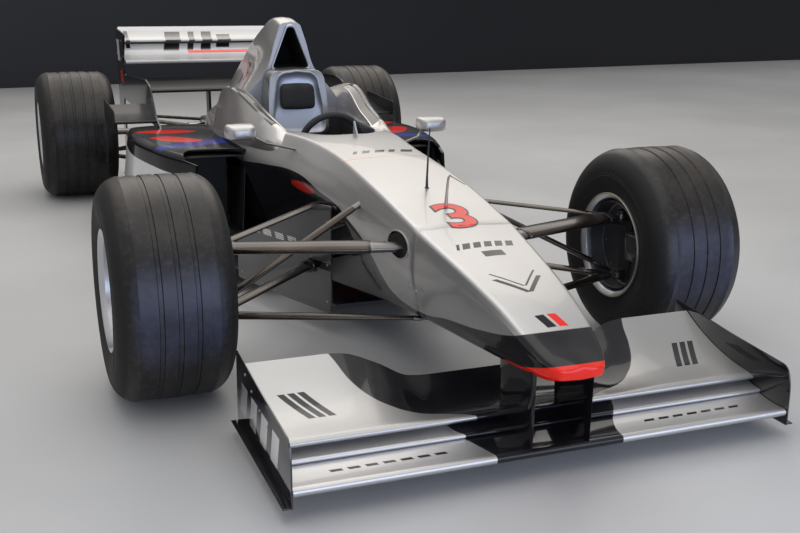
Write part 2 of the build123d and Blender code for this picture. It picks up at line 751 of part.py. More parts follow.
with BuildPart() as tailpipes:
    with BuildSketch(station(EXHAUST_FRONT + EXHAUST_LENGTH)):
        with Locations(EXHAUST_PLACE):
            Circle(EXHAUST_R)
            Circle(EXHAUST_R - TAILPIPE_WALL, mode=Mode.SUBTRACT)
    extrude(amount=-TAILPIPE_LENGTH)
    mirror(about=Plane.YZ)

# Rear suspension
REAR_CENTRE = (REAR_ACROSS - REAR_TYRE_WIDTH) / 2
REAR_UPRIGHT_SIDE = REAR_CENTRE - 112
REAR_UPRIGHT_THICKNESS = 50
SHAFT_R = 30
REAR_JOINT_UP = 108
# Columns: half-width, station and height of the body end, station and height of the wheel end, chord
REAR_LEGS = (
    (70, 2640, 372, WHEELBASE - 14, REAR_TYRE_R + REAR_JOINT_UP, 40),
    (60, 3230, 352, WHEELBASE + 22, REAR_TYRE_R + REAR_JOINT_UP, 34),
    (80, 2600, 150, WHEELBASE - 14, REAR_TYRE_R - REAR_JOINT_UP, 44),
    (60, 3200, 230, WHEELBASE + 22, REAR_TYRE_R - REAR_JOINT_UP, 34),
)
rear_arms = [
    rod(place(x, y, z), place(REAR_UPRIGHT_SIDE + 10, wheel_y, wheel_z), chord, 16)
    for x, y, z, wheel_y, wheel_z, chord in REAR_LEGS
]
rear_pushrod = rod(place(640, WHEELBASE - 20, REAR_TYRE_R - REAR_JOINT_UP + 6), place(60, 2840, 372), 26, 16)
with BuildPart() as rear_uprights:
    with BuildSketch(side(REAR_UPRIGHT_SIDE)):
        with Locations((WHEELBASE, REAR_TYRE_R)):
            RectangleRounded(110, 256, 30)
            Circle(SHAFT_R + JOINT_GAP, mode=Mode.SUBTRACT)
    extrude(amount=REAR_UPRIGHT_THICKNESS)
    mirror(about=Plane.YZ)

with BuildPart() as rear_wishbones:
    add(rear_arms)
    add(rear_pushrod)
    mirror(about=Plane.YZ)
    add(gearbox.part, mode=Mode.SUBTRACT)
    add(rear_uprights.part, mode=Mode.SUBTRACT)
    add(engine_cover.part, mode=Mode.SUBTRACT)
    with BuildSketch(side(-60)):
        with Locations((2900, 300)):
            Rectangle(900, 500)
    extrude(amount=120, mode=Mode.SUBTRACT)

# Rear wing, its end plates with their forward fences, and the winglets ahead of the rear wheels
WING_SPAN_HALF = REAR_WING_HALF - PLATE
with BuildPart() as rear_wing:
    extrude(blade(side(0), (3222, 690), (3390, 778), 22, 20), amount=WING_SPAN_HALF)
    extrude(blade(side(0), (3372, 796), (3524, 868), 14, 12), amount=WING_SPAN_HALF)
    mirror(about=Plane.YZ)

with BuildPart() as beam_wing:
    extrude(blade(side(0), (3330, 508), (3468, 574), 14, 14), amount=WING_SPAN_HALF)
    with BuildSketch(side(0)):
        with BuildLine():
            Polyline((3340, 340), (3346, 500), (3420, 540), (3415, 340), close=True)
        make_face()
    extrude(amount=7)
    mirror(about=Plane.YZ)
    add(gearbox.part, mode=Mode.SUBTRACT)

fence_outline = outline(
    side(REAR_WING_HALF - PLATE),
    [
        (3206, 843), (3540, 860), (3540, 420), (3400, 330), (3385, 190), (3290, 190), (3330, 480),
        (2000, 470), (2180, 520), (2330, 650), (2460, 668), (3330, 612),
    ],
    (8, 8, 40, 20, 0, 0, 30, 5, 120, 90, 60, 60),
)
with BuildPart() as rear_endplates:
    extrude(fence_outline, amount=PLATE)
    mirror(about=Plane.YZ)
    add(sidepod_left.part, mode=Mode.SUBTRACT)
    add(sidepod_right.part, mode=Mode.SUBTRACT)
    add(diffuser.part, mode=Mode.SUBTRACT)

WINGLET_OUTER = 700
winglet_tip = outline(side(WINGLET_OUTER - 4), [(2120, 560), (2520, 575), (2520, 480), (2120, 450)], (20,) * 4)
with BuildPart() as winglets:
    extrude(
        blade(side(REAR_WING_HALF), (2150, 500), (2500, 545), 14, 12),
        amount=WINGLET_OUTER - REAR_WING_HALF - 4,
    )
    extrude(winglet_tip, amount=4)
    mirror(about=Plane.YZ)

# Windscreen and the aerials on the nose
with BuildPart() as windscreen:
    with BuildSketch(side(-3)):
        with BuildLine():
            Polyline((640, 600), (700, 680), (712, 600), close=True)
        make_face()
    extrude(amount=6)
    add(monocoque.part, mode=Mode.SUBTRACT)

with BuildPart() as aerials:
    add(rod(place(0, 1, 540), place(0, -15, 757), 7, 7))
    add(rod(place(0, -149, 520), place(0, -166, 636), 8, 8))
    add(rod(place(0, -162, 636), place(0, -282, 630), 7, 7))
    add(monocoque.part, mode=Mode.SUBTRACT)

# Wheels, each a tyre, a rim with its nut, and a brake disc with its bell
# Columns: name, station, width across both tyres, tyre width, tyre radius
WHEELS = (
    ("front", 0, FRONT_ACROSS, FRONT_TYRE_WIDTH, FRONT_TYRE_R),
    ("rear", WHEELBASE, REAR_ACROSS, REAR_TYRE_WIDTH, REAR_TYRE_R),
)
for name, axle, across, width, radius in WHEELS:
    centre = (across - width) / 2
    half = width / 2
    bead = half - TYRE_BULGE
    wheel_plane = Plane(origin=place(centre, axle, radius), x_dir=(1, 0, 0), z_dir=(0, -1, 0))
    wheel_axis = Axis(place(centre, axle, radius), (1, 0, 0))

    with BuildPart() as tyre:
        with BuildSketch(wheel_plane):
            with BuildLine():
                FilletPolyline(
                    (-bead, RIM_SEAT_R + 0.3), (-bead, RIM_FLANGE_R + 4), (-half, RIM_FLANGE_R + 45), (-half, radius),
                    (half, radius), (half, RIM_FLANGE_R + 45), (bead, RIM_FLANGE_R + 4), (bead, RIM_SEAT_R + 0.3),
                    radius=(0, 6, 20, TYRE_SHOULDER_R, TYRE_SHOULDER_R, 20, 6, 0), close=True,
                )
            make_face()
        revolve(axis=wheel_axis)

    flange = bead + FLANGE_THICKNESS
    inner = RIM_WELL_R - RIM_WALL
    with BuildPart() as rim:
        with BuildSketch(wheel_plane):
            with BuildLine():
                Polyline(
                    (-flange, RIM_FLANGE_R), (-bead, RIM_FLANGE_R), (-bead, RIM_SEAT_R), (-bead + 55, RIM_SEAT_R),
                    (-bead + 68, RIM_WELL_R), (bead - 95, RIM_WELL_R), (bead - 82, RIM_SEAT_R), (bead, RIM_SEAT_R),
                    (bead, RIM_FLANGE_R), (flange, RIM_FLANGE_R), (flange, RIM_FLANGE_R - 8),
                    (bead - 6, RIM_SEAT_R - 7), (bead - 36, RIM_SEAT_R - 7), (bead - 52, 120), (bead - 62, 62),
                    (bead - 50, HUB_BOSS_R), (bead - 50, SPINDLE_R + JOINT_GAP),
                    (bead - 86, SPINDLE_R + JOINT_GAP), (bead - 86, HUB_BOSS_R), (bead - 76, 60), (bead - 64, 120),
                    (bead - 56, inner), (-bead + 66, inner), (-bead + 53, RIM_SEAT_R - 7),
                    (-bead + 6, RIM_SEAT_R - 7), (-flange, RIM_FLANGE_R - 8), close=True,
                )
            make_face()
        revolve(axis=wheel_axis)
        with BuildSketch(Plane(origin=place(centre, axle, radius), x_dir=(0, 1, 0), z_dir=(1, 0, 0))):
            with PolarLocations(0, RIM_WINDOWS):
                with BuildLine():
                    FilletPolyline(
                        (68, -12), (138, -30), (138, 30), (68, 12), radius=(6, 12, 12, 6), close=True,
                    )
                make_face()
        extrude(amount=bead, mode=Mode.SUBTRACT)
        with BuildSketch(Plane(
            origin=place(centre + bead - 50, axle, radius), x_dir=(0, 1, 0), z_dir=(1, 0, 0),
        )):
            RegularPolygon(30, 6)
        extrude(amount=26)

    disc_half = DISC_THICKNESS / 2
    with BuildPart() as disc:
        with BuildSketch(wheel_plane):
            with BuildLine():
                Polyline(
                    (DISC_CENTRE - disc_half, 88), (DISC_CENTRE - disc_half, DISC_R),
                    (DISC_CENTRE + disc_half, DISC_R), (DISC_CENTRE + disc_half, 86), (bead - 100, 52),
                    (bead - 86, HUB_BOSS_R), (bead - 86, SPINDLE_R + JOINT_GAP), (bead - 96, SPINDLE_R + JOINT_GAP),
                    (bead - 104, 44), (DISC_CENTRE + 2, 78), close=True,
                )
            make_face()
        revolve(axis=wheel_axis)

    if name == "rear":
        with BuildPart() as drive_shaft:
            with BuildSketch(Plane(origin=place(121, axle, radius), x_dir=(0, 1, 0), z_dir=(1, 0, 0))):
                Circle(38)
            extrude(amount=70)
            with BuildSketch(Plane(origin=place(121, axle, radius), x_dir=(0, 1, 0), z_dir=(1, 0, 0))):
                Circle(17)
            extrude(amount=centre - 121 - 100)
            with BuildSketch(Plane(
                origin=place(REAR_UPRIGHT_SIDE - 60, axle, radius), x_dir=(0, 1, 0), z_dir=(1, 0, 0),
            )):
                Circle(SHAFT_R)
            extrude(amount=60 + REAR_UPRIGHT_THICKNESS + 8)
            with BuildSketch(Plane(
                origin=place(REAR_UPRIGHT_SIDE + REAR_UPRIGHT_THICKNESS, axle, radius),
                x_dir=(0, 1, 0), z_dir=(1, 0, 0),
            )):
                Circle(SPINDLE_R)
            extrude(amount=centre + bead - 50 - REAR_UPRIGHT_SIDE - REAR_UPRIGHT_THICKNESS)
            add(rim.part, mode=Mode.SUBTRACT)
            add(disc.part, mode=Mode.SUBTRACT)
        save("drive_shaft_left", drive_shaft.part)
        save("drive_shaft_right", mirror(drive_shaft.part, about=Plane.YZ))

    for piece, part in (("tyre", tyre.part), ("rim", rim.part), ("disc", disc.part)):
        save(f"{name}_{piece}_left", part)
        save(f"{name}_{piece}_right", mirror(part, about=Plane.YZ))

for name, part in (
    ("nose_cone", nose_cone.part),
    ("monocoque", monocoque.part),
    ("cockpit_surround", cockpit_surround.part),
    ("roll_structure", roll_structure.part),
    ("headrest_pad", headrest_pad.part),
    ("engine_cover", engine_cover.part),
    ("sidepod_left", sidepod_left.part),
    ("sidepod_right", sidepod_right.part),
    ("radiators", radiators.part),
    ("floor", floor.part),
    ("plank", plank.part),
    ("diffuser", diffuser.part),
    ("front_wing_main", front_wing_main.part),
    ("front_wing_flap", front_wing_flap.part),
    ("front_wing_endplates", front_wing_endplates.part),
    ("nose_pillars", nose_pillars.part),
    ("bargeboards", bargeboards.part),
    ("mirrors", mirrors.part),
    ("front_wishbones", front_wishbones.part),
    ("front_knuckle_left", front_knuckle_left.part),
    ("front_knuckle_right", front_knuckle_right.part),
    ("steering_rack", steering_rack.part),
    ("dash_bulkhead", dash_bulkhead.part),
    ("steering_wheel", steering_wheel.part),
    ("seat", seat.part),
    ("engine", engine.part),
    ("gearbox", gearbox.part),
    ("rain_light", rain_light.part),
    ("exhausts", exhausts.part),
    ("tailpipes", tailpipes.part),
    ("rear_uprights", rear_uprights.part),
    ("rear_wishbones", rear_wishbones.part),
    ("rear_wing", rear_wing.part),
    ("beam_wing", beam_wing.part),
    ("rear_endplates", rear_endplates.part),
    ("winglets", winglets.part),
    ("windscreen", windscreen.part),
    ("aerials", aerials.part),
):
    save(name, part)
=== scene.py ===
"""Open wheel racing car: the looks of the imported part, in metres, in the part's own frame.

A place on the car is given as (side, station, height): side to the car's left, station behind the front axle.
"""

import logging
import math
from collections.abc import Callable, Iterable, Sequence
from dataclasses import dataclass, field
from enum import Enum

import bmesh
import bpy
import numpy as np
from mathutils import Matrix, Vector
from mathutils.bvhtree import BVHTree


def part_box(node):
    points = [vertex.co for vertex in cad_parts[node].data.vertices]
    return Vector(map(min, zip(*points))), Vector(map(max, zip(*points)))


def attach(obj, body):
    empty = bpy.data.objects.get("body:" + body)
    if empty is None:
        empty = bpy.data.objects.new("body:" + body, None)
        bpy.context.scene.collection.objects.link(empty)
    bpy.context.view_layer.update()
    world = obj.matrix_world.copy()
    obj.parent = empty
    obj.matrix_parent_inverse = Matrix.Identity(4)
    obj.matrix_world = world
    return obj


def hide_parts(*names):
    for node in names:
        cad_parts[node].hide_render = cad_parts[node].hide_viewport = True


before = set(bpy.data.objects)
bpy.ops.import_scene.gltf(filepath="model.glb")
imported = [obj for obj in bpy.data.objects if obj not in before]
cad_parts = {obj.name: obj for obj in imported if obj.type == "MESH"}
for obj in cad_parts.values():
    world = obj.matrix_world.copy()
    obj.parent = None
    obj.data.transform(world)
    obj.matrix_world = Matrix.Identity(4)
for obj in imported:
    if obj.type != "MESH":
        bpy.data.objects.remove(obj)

LOG = logging.getLogger("racing_car")
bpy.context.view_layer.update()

Pair = tuple[float, float]
Outline = Sequence[Pair]
Table = tuple[tuple[float, ...], ...]
Row = Sequence[Vector]
Seats = Sequence[tuple[Vector, Vector]]
Colour = tuple[float, float, float]
Painted = tuple[object, object, object]
Piece = bpy.types.Object
Material = bpy.types.Material
Node = bpy.types.Node
NodeTree = bpy.types.NodeTree
Socket = bpy.types.NodeSocket
Given = bpy.types.bpy_prop_collection

SILVER: Colour = (0.56, 0.55, 0.54)
BLACK_GLOSS: Colour = (0.008, 0.008, 0.01)
SIGNAL_RED: Colour = (0.86, 0.020, 0.008)
PATCH_RED: Colour = (0.36, 0.012, 0.006)
SWEEP_BLUE: Colour = (0.020, 0.040, 0.30)
TOP_GREY: Colour = (0.050, 0.051, 0.052)
WING_WHITE: Colour = (0.60, 0.60, 0.60)
THREAD_GREY: Colour = (0.05, 0.05, 0.055)
SPECK_GREY: Colour = (0.4, 0.38, 0.36)


class Side(Enum):
    """The two sides of the car, as the sign of x."""

    LEFT = 1
    RIGHT = -1

    @property
    def word(self) -> str:
        """The side's name as the part's nodes have it."""
        return self.name.lower()


class Axle(Enum):
    """The two axles, by their names in the part's nodes."""

    FRONT = "front"
    REAR = "rear"


TYRE_LOW, TYRE_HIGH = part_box("front_tyre_left")
AXLE_Y = (TYRE_LOW.y + TYRE_HIGH.y) / 2
AXLE_Z = (TYRE_HIGH.z - TYRE_LOW.z) / 2


def at(x: float, station: float, z: float) -> Vector:
    """Point of the car from its half-width, station and height, in metres."""
    return Vector((x, AXLE_Y + station, z))


def turn(count: int) -> list[float]:
    """Angles that divide a full turn evenly."""
    return [2 * math.pi * i / count for i in range(count)]


def arc(x: float) -> float:
    """Height of a flat arc over its chord, 0 at both ends and 1 in the middle."""
    return 4 * x * (1 - x)


def smooth_value(x: float, xs: Sequence[float], ys: Sequence[float]) -> float:
    """Value of a smooth curve that passes through the points and never swings past them.

    Args:
        x: Where the curve is read.
        xs: Growing places of the points.
        ys: Values at the points.

    Returns:
        The curve's value, held level outside the points.
    """
    if x <= xs[0]:
        return ys[0]
    if x >= xs[-1]:
        return ys[-1]
    steps = np.diff(xs)
    slopes = np.diff(ys) / steps
    tangents = np.zeros(len(xs))
    tangents[0], tangents[-1] = slopes[0], slopes[-1]
    for i in range(1, len(xs) - 1):
        if slopes[i - 1] * slopes[i] > 0:
            before, after = 2 * steps[i] + steps[i - 1], steps[i] + 2 * steps[i - 1]
            tangents[i] = (before + after) / (before / slopes[i - 1] + after / slopes[i])
    i = int(np.searchsorted(xs, x)) - 1
    t = (x - xs[i]) / steps[i]
    return float(
        (2 * t**3 - 3 * t**2 + 1) * ys[i]
        + (t**3 - 2 * t**2 + t) * steps[i] * tangents[i]
        + (3 * t**2 - 2 * t**3) * ys[i + 1]
        + (t**3 - t**2) * steps[i] * tangents[i + 1]
    )


def smooth_row(station: float, table: Sequence[Sequence[float]]) -> list[float]:
    """One row between a table's rows, whose first column is the station."""
    stations = [row[0] for row in table]
    return [smooth_value(station, stations, [row[i] for row in table]) for i in range(1, len(table[0]))]


def spread(start: float, end: float, count: int) -> list[float]:
    """Evenly spaced values from start to end."""
    return [start + (end - start) * i / (count - 1) for i in range(count)]


def rounded(corners: Outline, cuts: Sequence[float], steps: int = 5) -> list[Pair]:
    """Closed flat outline with its corners rounded, each with the same number of points.

    Args:
        corners: The outline's corners.
        cuts: How far from each corner its rounding starts.
        steps: Points along each rounding.

    Returns:
        The points in order.
    """
    count, points = len(corners), []
    for i, (corner, cut) in enumerate(zip(corners, cuts)):
        here = Vector(corner)
        before, after = Vector(corners[i - 1]) - here, Vector(corners[(i + 1) % count]) - here
        start = here + before.normalized() * min(cut, before.length * 0.49)
        end = here + after.normalized() * min(cut, after.length * 0.49)
        for k in range(steps):
            t = k / (steps - 1)
            point = start * (1 - t) ** 2 + here * 2 * t * (1 - t) + end * t**2
            points.append((point.x, point.y))
    return points


@dataclass
class Draft:
    """A mesh being drawn: its points, its faces and the finish number of each face."""

    points: list[Vector] = field(default_factory=list)
    faces: list[tuple[int, ...]] = field(default_factory=list)
    finishes: list[int] = field(default_factory=list)

    def grid(self, rows: Sequence[Row], ring: bool = False, caps: bool = False, finish: int = 0) -> "Draft":
        """Adds a skin through rows of points.

        Args:
            rows: Rows with the same number of points.
            ring: Whether each row closes on itself.
            caps: Whether the first and the last row are filled.
            finish: Number of the finish.

        Returns:
            The draft itself.
        """
        base, width = len(self.points), len(rows[0])
        for row in rows:
            self.points.extend(Vector(point) for point in row)
        last = width if ring else width - 1
        for i in range(len(rows) - 1):
            for j in range(last):
                k = (j + 1) % width
                a, b = base + i * width, base + (i + 1) * width
                self.faces.append((a + j, a + k, b + k, b + j))
                self.finishes.append(finish)
        if caps:
            end = base + (len(rows) - 1) * width
            self.faces.append(tuple(range(base + width - 1, base - 1, -1)))
            self.faces.append(tuple(range(end, end + width)))
            self.finishes += [finish, finish]
        return self

    def loft(self, rings: Sequence[Row], finish: int = 0) -> "Draft":
        """Adds a solid through rings of points, closed at both ends."""
        return self.grid(rings, ring=True, caps=True, finish=finish)

    def turned(self, profile: Outline, centre: Vector, steps: int, finish: int = 0) -> "Draft":
        """Adds a body of revolution about an axis along x.

        Args:
            profile: Points of the closed section as (offset along x from the centre, radius).
            centre: A point on the axis.
            steps: Divisions of the turn.
            finish: Number of the finish.

        Returns:
            The draft itself.
        """
        rows = [[centre + Vector((x, r * math.cos(a), r * math.sin(a))) for x, r in profile]
                for a in [*turn(steps), 0.0]]
        return self.grid(rows, ring=True, finish=finish)

    def tube(self, path: Sequence[Vector], radius: float | Sequence[float], sides: int = 12,
             finish: int = 0, flat: float = 1.0) -> "Draft":
        """Adds a round or flattened bar along a path, closed at both ends.

        Args:
            path: Points of its middle line.
            radius: One radius, or one for each point.
            sides: Points round the bar.
            finish: Number of the finish.
            flat: Height of the section over its width.

        Returns:
            The draft itself.
        """
        radii = [radius] * len(path) if isinstance(radius, float) else list(radius)
        rows = []
        for i, (point, size) in enumerate(zip(path, radii)):
            run = (path[min(i + 1, len(path) - 1)] - path[max(i - 1, 0)]).normalized()
            level = Vector((0, 0, 1)) if abs(run.z) < 0.95 else Vector((0, 1, 0))
            across = run.cross(level).normalized()
            rise = across.cross(run)
            rows.append([point + size * (across * math.cos(a) + rise * flat * math.sin(a))
                         for a in turn(sides)])
        return self.loft(rows, finish)

    def plate(self, outline: Sequence[Vector], thickness: Vector, finish: int = 0) -> "Draft":
        """Adds a flat plate from its outline and the vector through its thickness."""
        return self.loft([list(outline), [point + thickness for point in outline]], finish)

    def block(self, low: Vector, high: Vector, finish: int = 0) -> "Draft":
        """Adds a rectangular block between two opposite corners.

        Args:
            low: One corner.
            high: The opposite corner.
            finish: Number of the finish.

        Returns:
            The draft itself.
        """
        outline = [Vector((x, y, low.z)) for x, y in
                   ((low.x, low.y), (high.x, low.y), (high.x, high.y), (low.x, high.y))]
        return self.plate(outline, Vector((0, 0, high.z - low.z)), finish)

    def mirrored(self) -> "Draft":
        """Adds the same again on the car's other side.

        Returns:
            The draft itself.
        """
        base = len(self.points)
        self.points += [Vector((-p.x, p.y, p.z)) for p in self.points]
        self.faces += [tuple(base + i for i in reversed(face)) for face in self.faces]
        self.finishes += self.finishes
        return self

    def build(self, name: str, *finishes: "Finish", sharp: float = 35.0, bevel: float = 0.0,
              wall: float = 0.0) -> Piece:
        """Makes the object, merged, turned outwards and shaded smooth up to an angle.

        Args:
            name: The piece's name.
            finishes: Its finishes, in the order of the finish numbers.
            sharp: Angle in degrees past which an edge stays sharp.
            bevel: Width of the rounding of its edges.
            wall: Thickness given to an open skin, inwards.

        Returns:
            The object, at the origin, with its modifiers applied.
        """
        mesh = bpy.data.meshes.new(name)
        mesh.from_pydata([tuple(p) for p in self.points], [], self.faces)
        mesh.polygons.foreach_set("material_index", self.finishes)
        shaping = bmesh.new()
        shaping.from_mesh(mesh)
        bmesh.ops.remove_doubles(shaping, verts=shaping.verts, dist=1e-5)
        bmesh.ops.dissolve_degenerate(shaping, edges=shaping.edges, dist=1e-6)
        bmesh.ops.recalc_face_normals(shaping, faces=shaping.faces)
        shaping.to_mesh(mesh)
        shaping.free()
        for finish in finishes:
            mesh.materials.append(finish.material())
        piece = linked(name, mesh)
        if wall:
            solid = piece.modifiers.new("wall", "SOLIDIFY")
            solid.thickness, solid.offset = wall, -1.0
        if bevel:
            edge = piece.modifiers.new("edge", "BEVEL")
            edge.width, edge.segments, edge.limit_method = bevel, 2, "ANGLE"
            edge.angle_limit = math.radians(sharp)
        if piece.modifiers:
            applied(piece)
        return smoothed(piece, sharp)


def linked(name: str, data: bpy.types.ID) -> Piece:
    """Makes an object of its data and links it to the scene.

    Args:
        name: The object's name.
        data: Its mesh, curve, lamp or camera.

    Returns:
        The object.
    """
    made = bpy.data.objects.new(name, data)
    bpy.context.scene.collection.objects.link(made)
    return made


def evaluated(piece: Piece) -> bpy.types.Mesh:
    """A plain mesh of what an object looks like with its modifiers."""
    bpy.context.view_layer.update()
    return bpy.data.meshes.new_from_object(piece.evaluated_get(bpy.context.evaluated_depsgraph_get()))


def applied(piece: Piece) -> None:
    """Turns an object's modifiers into a plain mesh of the same name.

    Args:
        piece: The object.
    """
    mesh, name, old = evaluated(piece), piece.name, piece.data
    piece.modifiers.clear()
    piece.data = mesh
    bpy.data.meshes.remove(old)
    piece.name = mesh.name = name


def smoothed(piece: Piece, sharp: float) -> Piece:
    """Shades a piece smooth up to an angle in degrees.

    Args:
        piece: The piece.
        sharp: Angle past which an edge stays sharp.

    Returns:
        The piece itself.
    """
    piece.data.shade_smooth()
    piece.data.set_sharp_from_angle(angle=math.radians(sharp))
    return piece


def fit(piece: Piece, body: str, slot: str, *replaces: str) -> None:
    """Puts a finished piece on its body, hides the part's nodes that it stands for, and reports it.

    Args:
        piece: The finished piece.
        body: The body that it moves with.
        slot: The record's material slot; not used.
        replaces: The part's nodes that it stands for.
    """
    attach(piece, body)
    if replaces:
        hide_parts(*replaces)
    LOG.info("%s rides on %s, %d faces", piece.name, body, len(piece.data.polygons))


class Repeat:
    """A Geometry Nodes tree that sets copies of one small piece on given seats."""

    @staticmethod
    def _tree(name: str) -> NodeTree:
        """A new tree with its named inputs and a geometry output.

        Args:
            name: The tree's name.

        Returns:
            The tree.
        """
        tree = bpy.data.node_groups.new(name, "GeometryNodeTree")
        for key, kind in (("Geometry", "Geometry"), ("Piece", "Object"), ("Finish", "Material"),
                          ("Size", "Float")):
            tree.interface.new_socket(key, in_out="INPUT", socket_type=f"NodeSocket{kind}")
        tree.interface.new_socket("Geometry", in_out="OUTPUT", socket_type="NodeSocketGeometry")
        return tree

    @classmethod
    def on_seats(cls, name: str, seats: Seats, unit: Piece, finish: "Finish", size: float = 1.0) -> Piece:
        """Sets a copy of the unit piece on each seat, its own z axis along the seat's direction.

        Args:
            name: Name of the joined piece.
            seats: Pairs of place and direction.
            unit: The piece that is repeated; it is removed afterwards.
            finish: Finish of the copies.
            size: Scale of the copies.

        Returns:
            One joined mesh object.
        """
        tree = cls._tree(name + "_tree")
        start, end, info, direction, align, copies, real, paint = (tree.nodes.new(kind) for kind in (
            "NodeGroupInput", "NodeGroupOutput", "GeometryNodeObjectInfo", "GeometryNodeInputNamedAttribute",
            "FunctionNodeAlignRotationToVector", "GeometryNodeInstanceOnPoints",
            "GeometryNodeRealizeInstances", "GeometryNodeSetMaterial"))
        direction.data_type, align.axis = "FLOAT_VECTOR", "Z"
        direction.inputs["Name"].default_value = "seat_direction"
        for source, leaves, target, enters in (
                (start, "Piece", info, "Object"), (start, "Geometry", copies, "Points"),
                (info, "Geometry", copies, "Instance"), (direction, "Attribute", align, "Vector"),
                (align, "Rotation", copies, "Rotation"), (start, "Size", copies, "Scale"),
                (copies, "Instances", real, "Geometry"), (real, "Geometry", paint, "Geometry"),
                (start, "Finish", paint, "Material"), (paint, "Geometry", end, "Geometry")):
            tree.links.new(source.outputs[leaves], target.inputs[enters])
        mesh = bpy.data.meshes.new(name)
        mesh.from_pydata([tuple(place) for place, _ in seats], [], [])
        attribute = mesh.attributes.new("seat_direction", "FLOAT_VECTOR", "POINT")
        attribute.data.foreach_set("vector", [c for _, way in seats for c in way.normalized()])
        piece = linked(name, mesh)
        modifier = piece.modifiers.new("repeat", "NODES")
        modifier.node_group = tree
        sockets = {item.name: item.identifier for item in tree.interface.items_tree if item.in_out == "INPUT"}
        for key, value in (("Piece", unit), ("Finish", finish.material()), ("Size", size)):
            modifier[sockets[key]] = value
        applied(piece)
        bpy.data.objects.remove(unit)
        return smoothed(piece, 35.0)


class Tree:
    """Short forms for the nodes of a material or a shared group."""

    def __init__(self, tree: NodeTree) -> None:
        """Takes the node tree that is filled."""
        self.tree = tree

    def add(self, kind: str, inputs: dict[str | int, object] | None = None, **settings: object) -> Node:
        """Adds a node.

        Args:
            kind: The node's type name.
            inputs: Values or sockets for its inputs, by name or number.
            settings: The node's own settings.

        Returns:
            The node.
        """
        node = self.tree.nodes.new(kind)
        for key, value in settings.items():
            setattr(node, key, value)
        for key, value in (inputs or {}).items():
            self.put(node.inputs[key], value)
        return node

    def put(self, socket: Socket, value: object) -> None:
        """Links a socket to an input, or sets the input's value.

        Args:
            socket: The input.
            value: A socket, or the value to set.
        """
        if isinstance(value, Socket):
            self.tree.links.new(value, socket)
        elif isinstance(value, tuple) and socket.type == "RGBA":
            socket.default_value = (*value, 1.0)
        else:
            socket.default_value = value

    def math(self, operation: str, a: object, b: object = 0.0, clamp: bool = False) -> Socket:
        """Adds a Math node and returns its value."""
        return self.add("ShaderNodeMath", {0: a, 1: b}, operation=operation, use_clamp=clamp).outputs[0]

    def plus(self, a: object, b: object) -> Socket:
        """Sum of two values."""
        return self.math("ADD", a, b)

    def less(self, a: object, b: object) -> Socket:
        """The first value less the second."""
        return self.math("SUBTRACT", a, b)

    def times(self, a: object, b: object) -> Socket:
        """Product of two values."""
        return self.math("MULTIPLY", a, b)

    def mix(self, share: object, a: object, b: object) -> Socket:
        """Mixes two colours by a share."""
        return self.add("ShaderNodeMix", {0: share, 6: a, 7: b}, data_type="RGBA").outputs[2]

    def blend(self, share: object, a: object, b: object) -> Socket:
        """Mixes two values by a share."""
        return self.add("ShaderNodeMix", {0: share, 2: a, 3: b}, data_type="FLOAT").outputs[0]

    def step(self, value: object, low: float, high: float) -> Socket:
        """Smooth step from 0 at the low value to 1 at the high one."""
        inputs = {"Value": value, "From Min": low, "From Max": high}
        return self.add("ShaderNodeMapRange", inputs, interpolation_type="SMOOTHSTEP").outputs[0]

    def noise(self, scale: object, detail: float, vector: Socket | None = None,
              roughness: float = 0.5) -> Socket:
        """Noise value at a vector, or else in the piece's own coordinates."""
        inputs = {"Scale": scale, "Detail": detail, "Roughness": roughness, "Vector": vector or self.place()}
        return self.add("ShaderNodeTexNoise", inputs).outputs[0]

    def cloud(self, scale: object, detail: float, low: float = 0.3, high: float = 0.7) -> Socket:
        """Soft clouds from 0 to 1: a noise between two of its levels."""
        return self.step(self.noise(scale, detail), low, high)

    def place(self) -> Socket:
        """The piece's own coordinates, in metres."""
        return self.add("ShaderNodeTexCoord").outputs["Object"]

    def axes(self) -> tuple[Socket, Socket, Socket]:
        """The piece's own x, y and z."""
        return tuple(self.add("ShaderNodeSeparateXYZ", {0: self.place()}).outputs)

    def spot(self) -> tuple[Socket, Socket, Socket]:
        """The surface's side, station and height."""
        x, y, z = self.axes()
        return x, self.less(y, AXLE_Y), z

    def facing(self) -> tuple[Socket, Socket, Socket]:
        """The x, y and z of the surface's direction, in the piece's own frame."""
        normal = self.add("ShaderNodeTexCoord").outputs["Normal"]
        return tuple(self.add("ShaderNodeSeparateXYZ", {0: normal}).outputs)

    def line(self, value: Socket, points: Outline) -> Socket:
        """Value of a smooth line through points, read at a value.

        Args:
            value: Where the line is read.
            points: Pairs of growing place and value, the values between 0 and 1.

        Returns:
            The line's value.
        """
        low, high = points[0][0], points[-1][0]
        share = self.add("ShaderNodeMapRange", {"Value": value, "From Min": low, "From Max": high}).outputs[0]
        node = self.add("ShaderNodeFloatCurve", {"Value": share})
        curve = node.mapping.curves[0]
        for i, (x, y) in enumerate(points):
            u = (x - low) / (high - low)
            point = curve.points[i] if i < 2 else curve.points.new(u, y)
            point.location = (u, y)
        node.mapping.update()
        return node.outputs[0]

    def group(self, shared: "SharedGroup", inputs: dict[str, object]) -> Node:
        """Places a shared group with its values.

        Args:
            shared: The group.
            inputs: Values or sockets for its inputs, by name.

        Returns:
            The group's node.
        """
        node = self.tree.nodes.new("ShaderNodeGroup")
        node.node_tree = shared.tree()
        for key, value in inputs.items():
            self.put(node.inputs[key], value)
        return node


